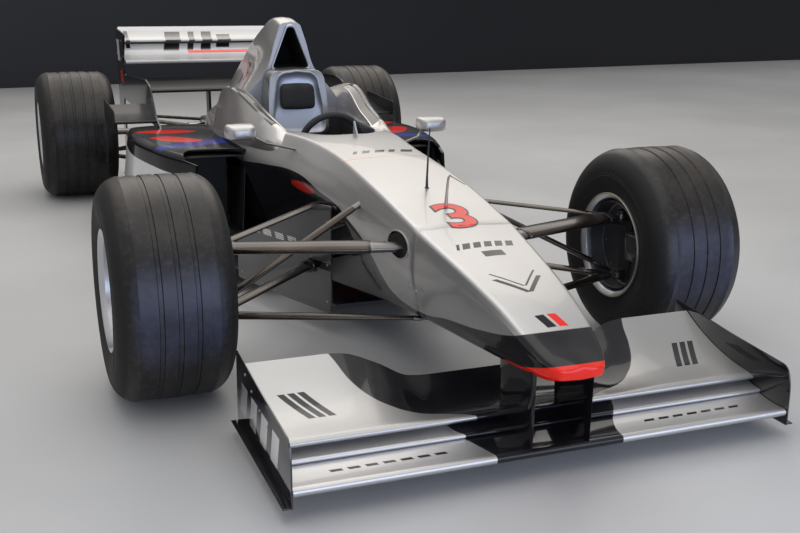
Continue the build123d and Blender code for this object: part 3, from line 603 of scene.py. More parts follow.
@dataclass(frozen=True)
class SharedGroup:
    """A shader node group of values: its named inputs, its outputs and what fills it."""

    name: str
    inputs: dict[str, float]
    outputs: tuple[str, ...]
    fill: Callable[[Tree, Given], dict[str, Socket]]

    def tree(self) -> NodeTree:
        """Builds the group once and gives it back afterwards.

        Returns:
            The group.
        """
        if self.name in bpy.data.node_groups:
            return bpy.data.node_groups[self.name]
        tree, kind = bpy.data.node_groups.new(self.name, "ShaderNodeTree"), "NodeSocketFloat"
        for key, value in self.inputs.items():
            tree.interface.new_socket(key, in_out="INPUT", socket_type=kind).default_value = value
        for key in self.outputs:
            tree.interface.new_socket(key, in_out="OUTPUT", socket_type=kind)
        start, end, t = tree.nodes.new("NodeGroupInput"), tree.nodes.new("NodeGroupOutput"), Tree(tree)
        for key, value in self.fill(t, start.outputs).items():
            t.put(end.inputs[key], value)
        return tree


def dust_values(t: Tree, given: Given) -> dict[str, Socket]:
    """Dust that settles on faces that look up: a mask from noise and the surface's direction.

    Args:
        t: The tree helper.
        given: The group's inputs.

    Returns:
        What each output gets.
    """
    settled = t.times(t.cloud(given["Scale"], 6.0, 0.35, 0.75), t.step(t.facing()[2], -0.2, 0.9))
    return {"Mask": t.times(settled, given["Amount"])}


def speck_values(t: Tree, given: Given) -> dict[str, Socket]:
    """Scattered small specks of dirt: a mask.

    Args:
        t: The tree helper.
        given: The group's inputs.

    Returns:
        What each output gets.
    """
    cells = t.add("ShaderNodeTexVoronoi", {"Vector": t.place(), "Scale": given["Scale"]})
    dots = t.less(1.0, t.step(cells.outputs["Distance"], 0.06, 0.16))
    return {"Mask": t.times(t.times(dots, t.cloud(9.0, 2.0, 0.5, 0.62)), given["Amount"])}


def wear_values(t: Tree, given: Given) -> dict[str, Socket]:
    """Wear along raised edges: a mask from how sharply the surface turns, broken up by noise.

    Args:
        t: The tree helper.
        given: The group's inputs.

    Returns:
        What each output gets.
    """
    edge = t.step(t.add("ShaderNodeNewGeometry").outputs["Pointiness"], 0.52, 0.62)
    return {"Mask": t.times(t.times(edge, t.cloud(60.0, 5.0, 0.35, 0.6)), given["Amount"])}


def grain_values(t: Tree, given: Given) -> dict[str, Socket]:
    """Fine grain of a surface as a height, with slow streaks as a second value for its gloss.

    Args:
        t: The tree helper.
        given: The group's inputs.

    Returns:
        What each output gets.
    """
    slow = t.less(t.noise(7.0, 5.0, roughness=0.65), 0.5)
    return {"Height": t.times(t.noise(given["Scale"], 4.0), given["Depth"]),
            "Streaks": t.times(slow, given["Scuffs"])}


def weave_values(t: Tree, given: Given) -> dict[str, Socket]:
    """Twill weave of carbon cloth: a mask that says which way the threads run, and its height.

    Args:
        t: The tree helper.
        given: The group's inputs.

    Returns:
        What each output gets.
    """
    scaled = t.add("ShaderNodeVectorMath", {0: t.place(), "Scale": given["Scale"]}, operation="SCALE")
    x, y, z = t.add("ShaderNodeSeparateXYZ", {0: scaled.outputs[0]}).outputs
    across, along = t.plus(x, t.times(z, 0.6)), t.plus(y, t.times(z, 0.8))
    cell = t.plus(t.math("FLOOR", across), t.math("FLOOR", along))
    mask = t.math("GREATER_THAN", t.math("FRACT", t.times(cell, 0.25)), 0.45)
    return {"Mask": mask, "Height": t.times(mask, 0.3)}


def bar_values(t: Tree, given: Given) -> dict[str, Socket]:
    """A slanted bar on a plane of the piece: a mask from two coordinates.

    Args:
        t: The tree helper.
        given: The group's inputs.

    Returns:
        What each output gets.
    """
    dv = t.less(given["V"], given["Centre V"])
    du = t.less(t.less(given["U"], given["Centre U"]), t.times(dv, given["Slant"]))
    soft = [t.math("DIVIDE", t.less(given[half], t.math("ABSOLUTE", off)), given["Soft"], clamp=True)
            for half, off in (("Half U", du), ("Half V", dv))]
    return {"Mask": t.times(*soft)}


DUST = SharedGroup("settled_dust", {"Amount": 0.2, "Scale": 6.0}, ("Mask",), dust_values)
SPECK = SharedGroup("specks", {"Amount": 0.3, "Scale": 120.0}, ("Mask",), speck_values)
WEAR = SharedGroup("edge_wear", {"Amount": 0.5}, ("Mask",), wear_values)
GRAIN = SharedGroup("grain", {"Scale": 400.0, "Depth": 0.2, "Scuffs": 0.1}, ("Height", "Streaks"),
                    grain_values)
WEAVE = SharedGroup("twill_weave", {"Scale": 500.0}, ("Mask", "Height"), weave_values)
BAR_INPUTS = ("U", "V", "Centre U", "Centre V", "Half U", "Half V", "Slant")
BAR = SharedGroup("slanted_bar", {**dict.fromkeys(BAR_INPUTS, 0.0), "Soft": 0.001}, ("Mask",), bar_values)


@dataclass(frozen=True)
class Bar:
    """A generic painted bar: its middle, half sizes and slant on a plane of the piece."""

    centre: Pair
    half: Pair
    slant: float = 0.0

    def mask(self, t: Tree, u: Socket, v: Socket) -> Socket:
        """The bar's mask from two coordinates of the surface.

        Args:
            t: The tree helper.
            u: The first coordinate.
            v: The second coordinate.

        Returns:
            The mask.
        """
        values = {"U": u, "V": v, "Centre U": self.centre[0], "Centre V": self.centre[1],
                  "Half U": self.half[0], "Half V": self.half[1], "Slant": self.slant}
        return t.group(BAR, values).outputs["Mask"]


def any_of(t: Tree, *masks: Socket) -> Socket:
    """The strongest of several masks.

    Args:
        t: The tree helper.
        masks: The masks.

    Returns:
        Their greatest value at each point.
    """
    whole = masks[0]
    for mask in masks[1:]:
        whole = t.math("MAXIMUM", whole, mask)
    return whole


def painted_bars(t: Tree, bars: Iterable[Bar], u: Socket, v: Socket) -> Socket:
    """One mask of several bars."""
    return any_of(t, *[bar.mask(t, u, v) for bar in bars])


def new_material(name: str) -> tuple[Material, Tree, Node]:
    """A new material with its tree helper and its shader.

    Args:
        name: The material's name.

    Returns:
        The material, its tree helper and its shader.
    """
    made = bpy.data.materials.new(name)
    made.use_nodes = True
    return made, Tree(made.node_tree), made.node_tree.nodes["Principled BSDF"]


@dataclass(frozen=True)
class Finish:
    """A finish: its colour and gloss, and how strong each shared effect is on it."""

    name: str
    colour: Colour
    roughness: float = 0.5
    metallic: float = 0.0
    coat: float = 0.0
    coat_roughness: float = 0.03
    specular: float = 0.5
    grain_scale: float = 500.0
    grain: float = 0.2
    bump: float = 0.0004
    scuffs: float = 0.15
    dust: float = 0.1
    dust_colour: Colour = (0.34, 0.31, 0.27)
    specks: float = 0.0
    wear: float = 0.0
    wear_colour: Colour = (0.45, 0.44, 0.43)
    mottle: float = 0.12
    weave: float = 0.0

    def paint(self, t: Tree) -> Painted:
        """The finish before wear and dust: its colour, how metallic it is and its roughness."""
        return self.toned(t, t.cloud(5.0, 4.0), 1 - self.mottle), self.metallic, self.roughness

    def toned(self, t: Tree, share: Socket, darkest: float) -> Socket:
        """The finish's colour, down to a share of itself where the mask is 0."""
        return t.mix(share, tuple(c * darkest for c in self.colour), self.colour)

    def covered(self, t: Tree, colour: Socket, mask: Socket, gloss: float) -> Painted:
        """The colour with plain paint of a given roughness where the mask is 1."""
        return colour, t.blend(mask, self.metallic, 0.0), t.blend(mask, self.roughness, gloss)

    def relief(self, t: Tree, height: Socket) -> Socket:
        """The surface's height with what the finish adds of its own."""
        return height

    def material(self) -> Material:
        """Builds the material once.

        Returns:
            The material.
        """
        name = f"{self.name}_finish"
        if name in bpy.data.materials:
            return bpy.data.materials[name]
        material, t, shader = new_material(name)
        colour, metallic, roughness = self.paint(t)
        inputs = {"Scale": self.grain_scale, "Depth": self.grain, "Scuffs": self.scuffs}
        grain = t.group(GRAIN, inputs).outputs
        height = grain["Height"]
        if self.weave:
            weave = t.group(WEAVE, {"Scale": self.weave}).outputs
            colour = t.mix(weave["Mask"], colour, t.mix(0.75, colour, THREAD_GREY))
            height = t.plus(height, weave["Height"])
        if self.wear:
            worn = t.group(WEAR, {"Amount": self.wear}).outputs["Mask"]
            colour = t.mix(worn, colour, self.wear_colour)
        if self.specks:
            dots = t.group(SPECK, {"Amount": self.specks}).outputs["Mask"]
            colour = t.mix(dots, colour, SPECK_GREY)
        if self.dust:
            dusty = t.group(DUST, {"Amount": self.dust}).outputs["Mask"]
            colour = t.mix(dusty, colour, self.dust_colour)
            roughness = t.blend(dusty, roughness, 0.75)
            if not isinstance(metallic, float) or metallic:
                metallic = t.blend(dusty, metallic, 0.0)
        relief = self.relief(t, height)
        bump = t.add("ShaderNodeBump", {"Strength": 1.0, "Distance": self.bump, "Height": relief})
        rough = t.math("ADD", roughness, grain["Streaks"], clamp=True)
        for key, value in {"Base Color": colour, "Metallic": metallic, "Roughness": rough,
                           "Normal": bump.outputs[0], "Coat Weight": self.coat,
                           "Coat Roughness": self.coat_roughness,
                           "Specular IOR Level": self.specular}.items():
            t.put(shader.inputs[key], value)
        return material


@dataclass(frozen=True)
class BodyPaint(Finish):
    """Bright silver body paint with its black flanks, black tip band, red lip and generic bars."""

    black_line: tuple[Pair, ...] = (
        (-0.90, 0.40), (-0.84, 0.367), (-0.633, 0.318), (-0.45, 0.290), (-0.33, 0.262), (-0.20, 0.250),
        (-0.09, 0.262), (-0.03, 0.300), (0.024, 0.352), (0.088, 0.398), (0.186, 0.431), (0.305, 0.462),
        (0.449, 0.477), (0.655, 0.506), (0.972, 0.487), (1.30, 0.45), (1.60, 0.44),
    )
    lip_line: tuple[Pair, ...] = (
        (-0.98, 0.33), (-0.93, 0.312), (-0.85, 0.287), (-0.71, 0.25), (-0.60, 0.10),
    )
    tip_band: float = -0.868
    bars: tuple[Bar, ...] = (
        *[Bar((0.075 - 0.033 * i, -0.425), (0.012, 0.017), 0.35) for i in range(5)],
        Bar((-0.082, -0.425), (0.005, 0.017), 0.35), Bar((0.0, -0.482), (0.032, 0.017)),
        *[Bar((0.034 * way, -0.66), (0.008, 0.040), 0.8 * way) for way in (1, -1)],
        *[Bar((0.034 * way, -0.63), (0.004, 0.040), 0.8 * way) for way in (1, -1)],
        Bar((-0.018, -0.818), (0.013, 0.024), -0.3),
        Bar((0.10, 0.43), (0.022, 0.018), 0.4), Bar((0.045, 0.43), (0.012, 0.018), 0.4),
        Bar((0.0, 0.43), (0.018, 0.018), 0.4), Bar((-0.05, 0.43), (0.014, 0.018), 0.4),
        Bar((-0.09, 0.43), (0.008, 0.018), 0.4),
    )
    red_bars: tuple[Bar, ...] = (Bar((0.016, -0.818), (0.013, 0.024), -0.3),
                                 Bar((0.0, 0.352), (0.15, 0.0022)))
    flank_patch: tuple[float, float, float, float] = (0.60, 0.466, 0.10, 0.016)

    def paint(self, t: Tree) -> Painted:
        """Silver with its painted areas.

        Args:
            t: The tree helper.

        Returns:
            Colour, how metallic it is and roughness.
        """
        x, station, z = t.spot()
        below = t.step(t.less(t.line(station, self.black_line), z), -0.0015, 0.0015)
        band = t.step(station, self.tip_band + 0.0015, self.tip_band - 0.0015)
        up = t.step(t.facing()[2], 0.4, 0.5)
        dark = any_of(t, below, band, t.times(painted_bars(t, self.bars, x, station), up))
        lip = t.step(t.less(t.line(station, self.lip_line), z), -0.0012, 0.0012)
        centre_y, centre_z, half_y, half_z = self.flank_patch
        off_y = t.math("DIVIDE", t.less(station, centre_y), half_y)
        off_z = t.math("DIVIDE", t.less(z, centre_z), half_z)
        patch = t.step(t.plus(t.times(off_y, off_y), t.times(off_z, off_z)), 1.1, 0.9)
        red = any_of(t, lip, t.times(painted_bars(t, self.red_bars, x, station), up), patch)
        tone = self.toned(t, t.cloud(1.8, 3.0), 0.94)
        colour = t.mix(red, t.mix(dark, tone, BLACK_GLOSS), t.mix(patch, SIGNAL_RED, PATCH_RED))
        return self.covered(t, colour, any_of(t, dark, red), 0.12)


@dataclass(frozen=True)
class CoverPaint(Finish):
    """Silver engine cover paint with faint generic bars on its flanks."""

    bars: tuple[Bar, ...] = (
        Bar((1.83, 0.83), (0.035, 0.03), 0.3), Bar((1.83, 0.76), (0.035, 0.02), 0.3),
        Bar((2.02, 0.74), (0.05, 0.04), 0.3), Bar((2.16, 0.70), (0.03, 0.03), 0.3),
    )
    red_bars: tuple[Bar, ...] = (Bar((2.30, 0.62), (0.10, 0.012), 2.0),)

    def paint(self, t: Tree) -> Painted:
        """Silver with dark bars seen from the sides.

        Args:
            t: The tree helper.

        Returns:
            Colour, how metallic it is and roughness.
        """
        _, station, z = t.spot()
        dark, red = (painted_bars(t, bars, station, z) for bars in (self.bars, self.red_bars))
        silver = self.toned(t, t.cloud(1.8, 3.0), 0.94)
        colour = t.mix(red, t.mix(dark, silver, (0.03, 0.03, 0.035)), SIGNAL_RED)
        return self.covered(t, colour, any_of(t, dark, red), 0.15)


@dataclass(frozen=True)
class SidepodPaint(Finish):
    """Sidepod paint: black gloss top with blue and red sweeps over grey, and a white flank."""

    sweeps: tuple[tuple[Pair | float, ...], ...] = (
        ((0.70, 1.40), (0.22, 1.60), 0.10, -0.05, 8.0), ((0.63, 1.95), (0.36, 1.87), 0.15, -0.02, 2.0),
        ((0.60, 1.70), (0.40, 1.54), 0.19, -0.01, 2.0),
    )

    def _sweep(self, t: Tree, x: Socket, station: Socket, tip: Pair, root: Pair,
               width: float, bow: float, blunt: float) -> Socket:
        """Mask of a curved sweep that widens from its tip and closes again towards its root.

        Args:
            t: The tree helper.
            x: Distance from the car's middle.
            station: The surface's station.
            tip: Half-width and station of the thin end.
            root: Half-width and station of the thick end.
            width: Half width at the thick end.
            bow: How far the middle line bends to the back.
            blunt: Power at which the thick end closes.

        Returns:
            The mask.
        """
        share = t.math("MAXIMUM", t.math("DIVIDE", t.less(x, tip[0]), root[0] - tip[0]), 0.0)
        middle = t.plus(t.times(share, root[1] - tip[1]), tip[1])
        bend = t.times(t.times(share, t.less(1.0, share)), 4.0 * bow)
        off = t.math("ABSOLUTE", t.less(station, t.plus(middle, bend)))
        closing = t.less(1.0, t.math("POWER", share, blunt))
        half = t.times(t.times(t.math("POWER", share, 0.6), closing), width)
        return t.times(t.step(t.less(half, off), -0.003, 0.003), t.step(share, 1.02, 1.0))

    def paint(self, t: Tree) -> Painted:
        """White flank, black front and rim, and the sweeps on top.

        Args:
            t: The tree helper.

        Returns:
            Colour, how metallic it is and roughness.
        """
        x, station, z = t.spot()
        across = t.math("ABSOLUTE", x)
        grey = t.times(t.step(station, 1.47, 1.52), t.step(station, 2.20, 2.12))
        grey = t.times(grey, t.step(across, 0.66, 0.60))
        blue, *reds = (self._sweep(t, across, station, *sweep) for sweep in self.sweeps)
        top = t.mix(blue, t.mix(grey, BLACK_GLOSS, TOP_GREY), SWEEP_BLUE)
        top = t.mix(any_of(t, *reds), top, SIGNAL_RED)
        white = t.times(t.less(1.0, t.step(z, 0.415, 0.42)), t.step(station, 1.075, 1.08))
        side = t.mix(white, BLACK_GLOSS, self.colour)
        side = t.mix(t.times(t.step(z, 0.155, 0.15), white), side, SIGNAL_RED)
        return t.mix(t.step(t.facing()[2], 0.55, 0.75), side, top), self.metallic, self.roughness


@dataclass(frozen=True)
class FlapPaint(Finish):
    """Silver wing paint whose middle is black inside an S-shaped line."""

    line: tuple[Pair, ...] = (
        (-0.78, 0.16), (-0.745, 0.18), (-0.70, 0.236), (-0.68, 0.30), (-0.637, 0.357), (-0.59, 0.397),
        (-0.525, 0.43), (-0.445, 0.455), (-0.40, 0.478),
    )
    bars: tuple[Bar, ...] = tuple(Bar((0.60 - 0.027 * i, -0.60), (0.010, 0.055), 0.5) for i in range(3))

    def paint(self, t: Tree) -> Painted:
        """Silver outside the line and black inside it.

        Args:
            t: The tree helper.

        Returns:
            Colour, how metallic it is and roughness.
        """
        x, station, _ = t.spot()
        across = t.math("ABSOLUTE", x)
        black = t.step(t.less(t.line(station, self.line), across), -0.0015, 0.0015)
        drawn = t.times(painted_bars(t, self.bars, across, station), t.step(t.facing()[2], 0.3, 0.4))
        dark = any_of(t, black, drawn)
        return self.covered(t, t.mix(dark, self.colour, BLACK_GLOSS), dark, 0.1)


@dataclass(frozen=True)
class PlatePaint(Finish):
    """Black gloss plate with generic pale bars on its outer face."""

    bars: tuple[Bar, ...] = ()
    red_bars: tuple[Bar, ...] = ()
    bar_colour: Colour = (0.75, 0.75, 0.75)

    def paint(self, t: Tree) -> Painted:
        """The bars are read from the side, by station and height, on faces that look outwards.

        Args:
            t: The tree helper.

        Returns:
            Colour, how metallic it is and roughness.
        """
        x, station, z = t.spot()
        outward = t.step(t.times(t.facing()[0], t.math("SIGN", x)), 0.4, 0.6)
        colour: object = self.colour
        for bars, tint in ((self.bars, self.bar_colour), (self.red_bars, SIGNAL_RED)):
            if bars:
                colour = t.mix(t.times(painted_bars(t, bars, station, z), outward), colour, tint)
        return colour, self.metallic, self.roughness


@dataclass(frozen=True)
class WingPaint(Finish):
    """White rear wing paint with a red stripe and generic dark bars on the side that faces forward."""

    bars: tuple[Bar, ...] = (
        Bar((-0.20, 0.79), (0.045, 0.05), 0.3), Bar((-0.09, 0.79), (0.018, 0.05), 0.3),
        Bar((0.0, 0.79), (0.03, 0.05), 0.3), Bar((0.10, 0.79), (0.04, 0.035), 0.3),
        Bar((-0.455, 0.80), (0.012, 0.045), 0.0),
    )
    stripe: Bar = Bar((0.14, 0.735), (0.26, 0.008), 0.0)

    def paint(self, t: Tree) -> Painted:
        """The bars are read from the front, by side and height.

        Args:
            t: The tree helper.

        Returns:
            Colour, how metallic it is and roughness.
        """
        x, _, z = t.axes()
        wing = t.mix(painted_bars(t, self.bars, x, z), self.colour, BLACK_GLOSS)
        return t.mix(self.stripe.mask(t, x, z), wing, SIGNAL_RED), self.metallic, self.roughness


@dataclass(frozen=True)
class TyreRubber(Finish):
    """Used tread rubber: grey-black, with a warm highlight painted on its top, a cool reflection painted on
    its front, fine scratches round the tyre and grit.
    """

    centre: tuple[float, float, float] = (0.0, 0.0, 0.0)
    tread_from: float = 0.30
    # How strongly a cool reflection of the front lamp is painted into the tread's colour on its front.
    sheen: float = 0.0

    def _radius(self, t: Tree) -> Socket:
        """Distance from the wheel's axis.

        Args:
            t: The tree helper.

        Returns:
            The distance, in metres.
        """
        moved = t.add("ShaderNodeVectorMath", {0: t.place(), 1: self.centre}, operation="SUBTRACT")
        _, y, z = t.add("ShaderNodeSeparateXYZ", {0: moved.outputs[0]}).outputs
        flat = t.add("ShaderNodeCombineXYZ", {0: 0.0, 1: y, 2: z})
        return t.add("ShaderNodeVectorMath", {0: flat.outputs[0]}, operation="LENGTH").outputs["Value"]

    def _lines(self, t: Tree, scale: float, detail: float) -> Socket:
        """Noise that changes only across the tyre, so it runs round it as lines."""
        return t.noise(scale, detail, t.add("ShaderNodeCombineXYZ", {0: t.axes()[0]}).outputs[0])

    def paint(self, t: Tree) -> Painted:
        """Dark sidewall and a greyer, scuffed tread, with a painted highlight on top and a painted reflection
        on the front.

        Args:
            t: The tree helper.

        Returns:
            Colour, how metallic it is and roughness.
        """
        tread = t.step(self._radius(t), self.tread_from - 0.01, self.tread_from + 0.006)
        scrub = t.step(t.noise(55.0, 5.0, roughness=0.7), 0.45, 0.7)
        worn = t.mix(t.cloud(9.0, 6.0, 0.35, 0.72), (0.008, 0.0078, 0.0082), (0.017, 0.0150, 0.0140))
        # Warm brown on the top of the tyre: a painted highlight of the warm light from above and behind.
        painted_top_highlight = t.times(t.step(t.axes()[2], 0.42, 0.66), t.cloud(7.0, 4.0, 0.25, 0.75))
        line = t.times(t.step(self._lines(t, 210.0, 3.0), 0.60, 0.68), t.cloud(14.0, 5.0, 0.45, 0.65))
        # Blue-grey on faces that look forward: a painted reflection of the cool lamp in front, not a colour
        # of the rubber.
        painted_reflection_mask = t.math("POWER", t.step(t.facing()[1], -0.80, -1.0), 1.5)
        painted_reflection_mask = t.times(painted_reflection_mask, t.blend(t.cloud(20.0, 6.0), 0.6, 1.0))
        for mask, share, tint in ((scrub, 0.55, (0.050, 0.044, 0.039)), (painted_top_highlight, 0.55, (0.075, 0.060, 0.047)),
                                  (line, 0.5, (0.085, 0.080, 0.076)),
                                  (painted_reflection_mask, self.sheen, (0.075, 0.083, 0.145))):
            worn = t.mix(t.times(mask, share), worn, tint)
        roughness = t.blend(tread, 0.62, t.blend(scrub, 0.29, 0.41))
        return t.mix(tread, self.colour, worn), self.metallic, roughness

    def relief(self, t: Tree, height: Socket) -> Socket:
        """Adds fine scrub marks that run round the tyre."""
        return t.plus(height, t.times(self._lines(t, 900.0, 2.0), 0.35))


@dataclass(frozen=True)
class PlankWood(Finish):
    """Pale laminated board with its grain along the car."""

    def paint(self, t: Tree) -> Painted:
        """Long streaks of two tones.

        Args:
            t: The tree helper.

        Returns:
            Colour, how metallic it is and roughness.
        """
        stretched = t.add("ShaderNodeVectorMath", {0: t.place(), 1: (60.0, 2.5, 60.0)}, operation="MULTIPLY")
        share = t.step(t.noise(1.0, 5.0, stretched.outputs[0]), 0.35, 0.65)
        return self.toned(t, share, 0.55), 0.0, self.roughness


FLAKE = {"metallic": 0.85, "grain_scale": 2600.0, "bump": 0.0002, "dust": 0.05}


class Palette:
    """Every finish of the car, by the name of its material slot or piece."""

    body = BodyPaint("body_silver", SILVER, 0.40, coat=0.5, specular=0.15, grain=0.10, scuffs=0.05, **FLAKE)
    cover = CoverPaint("cover_silver", (0.60, 0.575, 0.55), 0.34, coat=0.5, specular=0.2, grain=0.10,
                       scuffs=0.06, **FLAKE)
    # A lighter copy of the body silver for the head protection: painted light standing in for brighter
    # reflections.
    humps = Finish("humps_silver", (0.80, 0.775, 0.75), 0.30, coat=0.6, grain=0.10, scuffs=0.05, **FLAKE)
    # A darker copy of the silver for the shroud's outer shell and the face round the airbox mouth: painted
    # shade.
    shade = Finish("shaded_silver", (0.30, 0.29, 0.28), 0.36, coat=0.4, specular=0.2, grain=0.10, scuffs=0.05,
                   **FLAKE)
    roll = Finish("roll_silver", (0.50, 0.53, 0.60), 0.42, metallic=0.75, coat=0.3, coat_roughness=0.2,
                  grain_scale=1800.0, grain=0.15, scuffs=0.06, dust=0.06)
    sidepod = SidepodPaint("sidepod_paint", (0.70, 0.71, 0.73), 0.12, coat=0.12, specular=0.10, grain=0.04,
                           scuffs=0.04, dust=0.03)
    flap = FlapPaint("front_wing_paint", (0.47, 0.465, 0.455), 0.36, coat=0.5, specular=0.15, grain=0.08,
                     scuffs=0.05, **FLAKE)
    main_plane = FlapPaint("front_wing_main_paint", SILVER, 0.36, coat=0.5, specular=0.15, grain=0.08,
                           scuffs=0.05, **FLAKE, line=((-0.92, 0.178), (-0.86, 0.186), (-0.81, 0.205),
                                                       (-0.76, 0.235), (-0.70, 0.25)),
                           bars=tuple(Bar((0.30 + 0.045 * i, -0.835), (0.016, 0.006), 0.4) for i in range(7)))
    front_plate = PlatePaint("front_plate_paint", BLACK_GLOSS, 0.12, coat=1.0, grain=0.05, scuffs=0.05,
                             dust=0.08, bars=tuple(Bar((-0.45 - 0.105 * i, 0.125), (0.032, 0.045), -0.3)
                                                   for i in range(4)))
    rear_plate = PlatePaint("rear_plate_paint", BLACK_GLOSS, 0.15, coat=0.4, specular=0.2, grain=0.05,
                            scuffs=0.06, dust=0.06, bars=(Bar((3.47, 0.74), (0.05, 0.06), 0.3),),
                            red_bars=(Bar((3.36, 0.60), (0.05, 0.035), 0.5),))
    board = PlatePaint("board_carbon", (0.018, 0.018, 0.019), 0.30, coat=0.8, grain=0.05, weave=420.0,
                       scuffs=0.08, dust=0.12, bars=tuple(Bar((0.50 + 0.07 * i, 0.30), (0.024, 0.012), 0.3)
                                                          for i in range(4)))
    rear_wing = WingPaint("rear_wing_paint", WING_WHITE, 0.18, coat=1.0, grain=0.04, scuffs=0.05, dust=0.06)
    black = Finish("black_gloss", BLACK_GLOSS, 0.14, coat=0.9, specular=0.2, grain=0.05, scuffs=0.06,
                   dust=0.08)
    satin = Finish("black_satin", BLACK_GLOSS, 0.30, coat=0.15, specular=0.15, grain=0.05, scuffs=0.06,
                   dust=0.06)
    carbon = Finish("carbon", (0.016, 0.016, 0.017), 0.34, coat=0.7, coat_roughness=0.08, grain=0.05,
                    weave=420.0, scuffs=0.10, dust=0.14)
    pad = Finish("pad", (0.02, 0.02, 0.022), 0.85, grain_scale=1400.0, grain=0.9, bump=0.0006, dust=0.10,
                 mottle=0.3)
    radiator = Finish("radiator_core", (0.03, 0.03, 0.032), 0.55, metallic=0.4, dust=0.2)
    plank = PlankWood("plank_wood", (0.33, 0.24, 0.14), 0.6, dust=0.2)
    arms = Finish("arms", (0.048, 0.037, 0.028), 0.22, metallic=0.85, coat=0.25, grain_scale=700.0,
                  grain=0.10, scuffs=0.08, dust=0.08, wear=0.3, wear_colour=(0.30, 0.27, 0.24))
    arm_end = Finish("arm_end", (0.20, 0.19, 0.185), 0.28, metallic=0.95, grain_scale=700.0, grain=0.15,
                     scuffs=0.10, dust=0.05, wear=0.2)
    castings = Finish("castings", (0.17, 0.165, 0.16), 0.45, metallic=0.85, grain_scale=600.0, grain=0.5,
                      scuffs=0.15, dust=0.2, wear=0.5)
    upright = Finish("upright_black", (0.030, 0.030, 0.032), 0.45, metallic=0.4, grain_scale=600.0, grain=0.4,
                     scuffs=0.12, dust=0.12)
    pipe = Finish("pipe_steel", (0.34, 0.27, 0.21), 0.32, metallic=1.0, scuffs=0.2, dust=0.05, mottle=0.5)
    lamp = Finish("lamp_red", (0.42, 0.01, 0.008), 0.12, coat=1.0, grain=0.02, scuffs=0.03)
    grip = Finish("wheel_grip", (0.025, 0.025, 0.027), 0.7, grain_scale=1100.0, grain=0.8, bump=0.0005)
    screen = Finish("screen", (0.42, 0.43, 0.44), 0.08, coat=1.0, grain=0.02, scuffs=0.05)
    screen_dark = Finish("display_dark", (0.02, 0.022, 0.02), 0.10, coat=1.0, grain=0.02, scuffs=0.03)
    aerial = Finish("aerial_black", (0.012, 0.012, 0.013), 0.4, coat=0.4)
    tube = Finish("tube_metal", (0.62, 0.56, 0.50), 0.35, metallic=0.7, scuffs=0.1, dust=0.04)
    rim = Finish("rim_paint", (0.64, 0.65, 0.68), 0.32, metallic=0.85, coat=0.6, grain_scale=900.0,
                 grain=0.15, scuffs=0.10, dust=0.15, wear=0.4)
    # Bronze for the rim's inner edge ring, a painted highlight of that edge; the wheel nut wears the same
    # bronze.
    rim_lip = Finish("rim_lip", (0.52, 0.42, 0.28), 0.30, metallic=0.9, coat=0.4, scuffs=0.12, wear=0.5)
    disc = Finish("disc_carbon", (0.035, 0.034, 0.034), 0.42, metallic=0.3, grain_scale=900.0, grain=0.4,
                  scuffs=0.2, mottle=0.4)
    steel = Finish("shaft_steel", (0.36, 0.35, 0.34), 0.3, metallic=1.0, grain_scale=900.0, grain=0.2,
                   scuffs=0.15, dust=0.08, wear=0.3)
    glass = Finish("mirror_glass", (0.55, 0.56, 0.58), 0.02, metallic=1.0, grain=0.0, bump=0.0, scuffs=0.0,
                   dust=0.03, mottle=0.0)
    belt = Finish("belt_webbing", (0.30, 0.02, 0.02), 0.75, grain_scale=1500.0, grain=0.8, bump=0.0005,
                  dust=0.1)
    number = Finish("number_red", SIGNAL_RED, 0.3, coat=0.3, specular=0.2, grain=0.02, bump=0.0001,
                    scuffs=0.03, dust=0.03)
    outline = Finish("number_black", (0.012, 0.012, 0.013), 0.3, coat=0.3, specular=0.2, grain=0.02,
                     bump=0.0001, dust=0.03)
    # Pale bluish colour for the airbox lip: a painted highlight of the bright rim round the mouth.
    pale_lip = Finish("intake_lip", (0.55, 0.58, 0.66), 0.30, metallic=0.6, coat=0.6, grain=0.05, dust=0.04)
    # Near-black matte for the airbox duct, the arm recesses and the disc vents: painted shade for the dark
    # inside of holes.
    void = Finish("intake_dark", (0.004, 0.004, 0.004), 0.9, grain=0.0, bump=0.0, dust=0.0)

    @staticmethod
    def tyre(name: str, centre: Vector, radius: float, sheen: float) -> TyreRubber:
        """The rubber of one tyre, whose pattern is centred on its axle.

        Args:
            name: The tyre's axle and side.
            centre: Middle of the wheel.
            radius: The tyre's radius.
            sheen: Strength of the cool reflection painted on its front.

        Returns:
            The finish.
        """
        return TyreRubber(f"tyre_{name}", (0.008, 0.008, 0.0085), 0.55, grain_scale=650.0, grain=0.7,
                          bump=0.0005, specular=0.34, scuffs=0.15, dust=0.05, dust_colour=(0.17, 0.14, 0.115),
                          specks=0.35, centre=tuple(centre), tread_from=radius - 0.012, sheen=sheen)


def ring_row(corners: Outline, cuts: Sequence[float], bulges: Sequence[float],
             steps: int = 5, between: int = 5) -> list[Pair]:
    """Closed section with rounded corners and slightly crowned sides, always with the same number of points.

    Args:
        corners: Corners in clockwise order, as side and height.
        cuts: How far from each corner its rounding starts.
        bulges: Crown of the side that follows each corner.
        steps: Points in a rounding.
        between: Points on a side.

    Returns:
        The points in order.
    """
    turns, count, points = rounded(corners, cuts, steps), len(corners), []
    for i in range(count):
        points += turns[i * steps:(i + 1) * steps]
        start, end = Vector(points[-1]), Vector(turns[(i + 1) % count * steps])
        run = end - start
        out = Vector((-run.y, run.x)).normalized() if run.length > 1e-6 else Vector((0, 0))
        for k in range(1, between + 1):
            t = k / (between + 1)
            point = start + run * t + out * bulges[i] * arc(t) ** 2
            points.append((point.x, point.y))
    return points


def mirrored_corners(half: Outline) -> list[Pair]:
    """Corners of the left half from top to bottom, joined to their mirror image."""
    return [*half, *[(-x, z) for x, z in reversed(half)]]


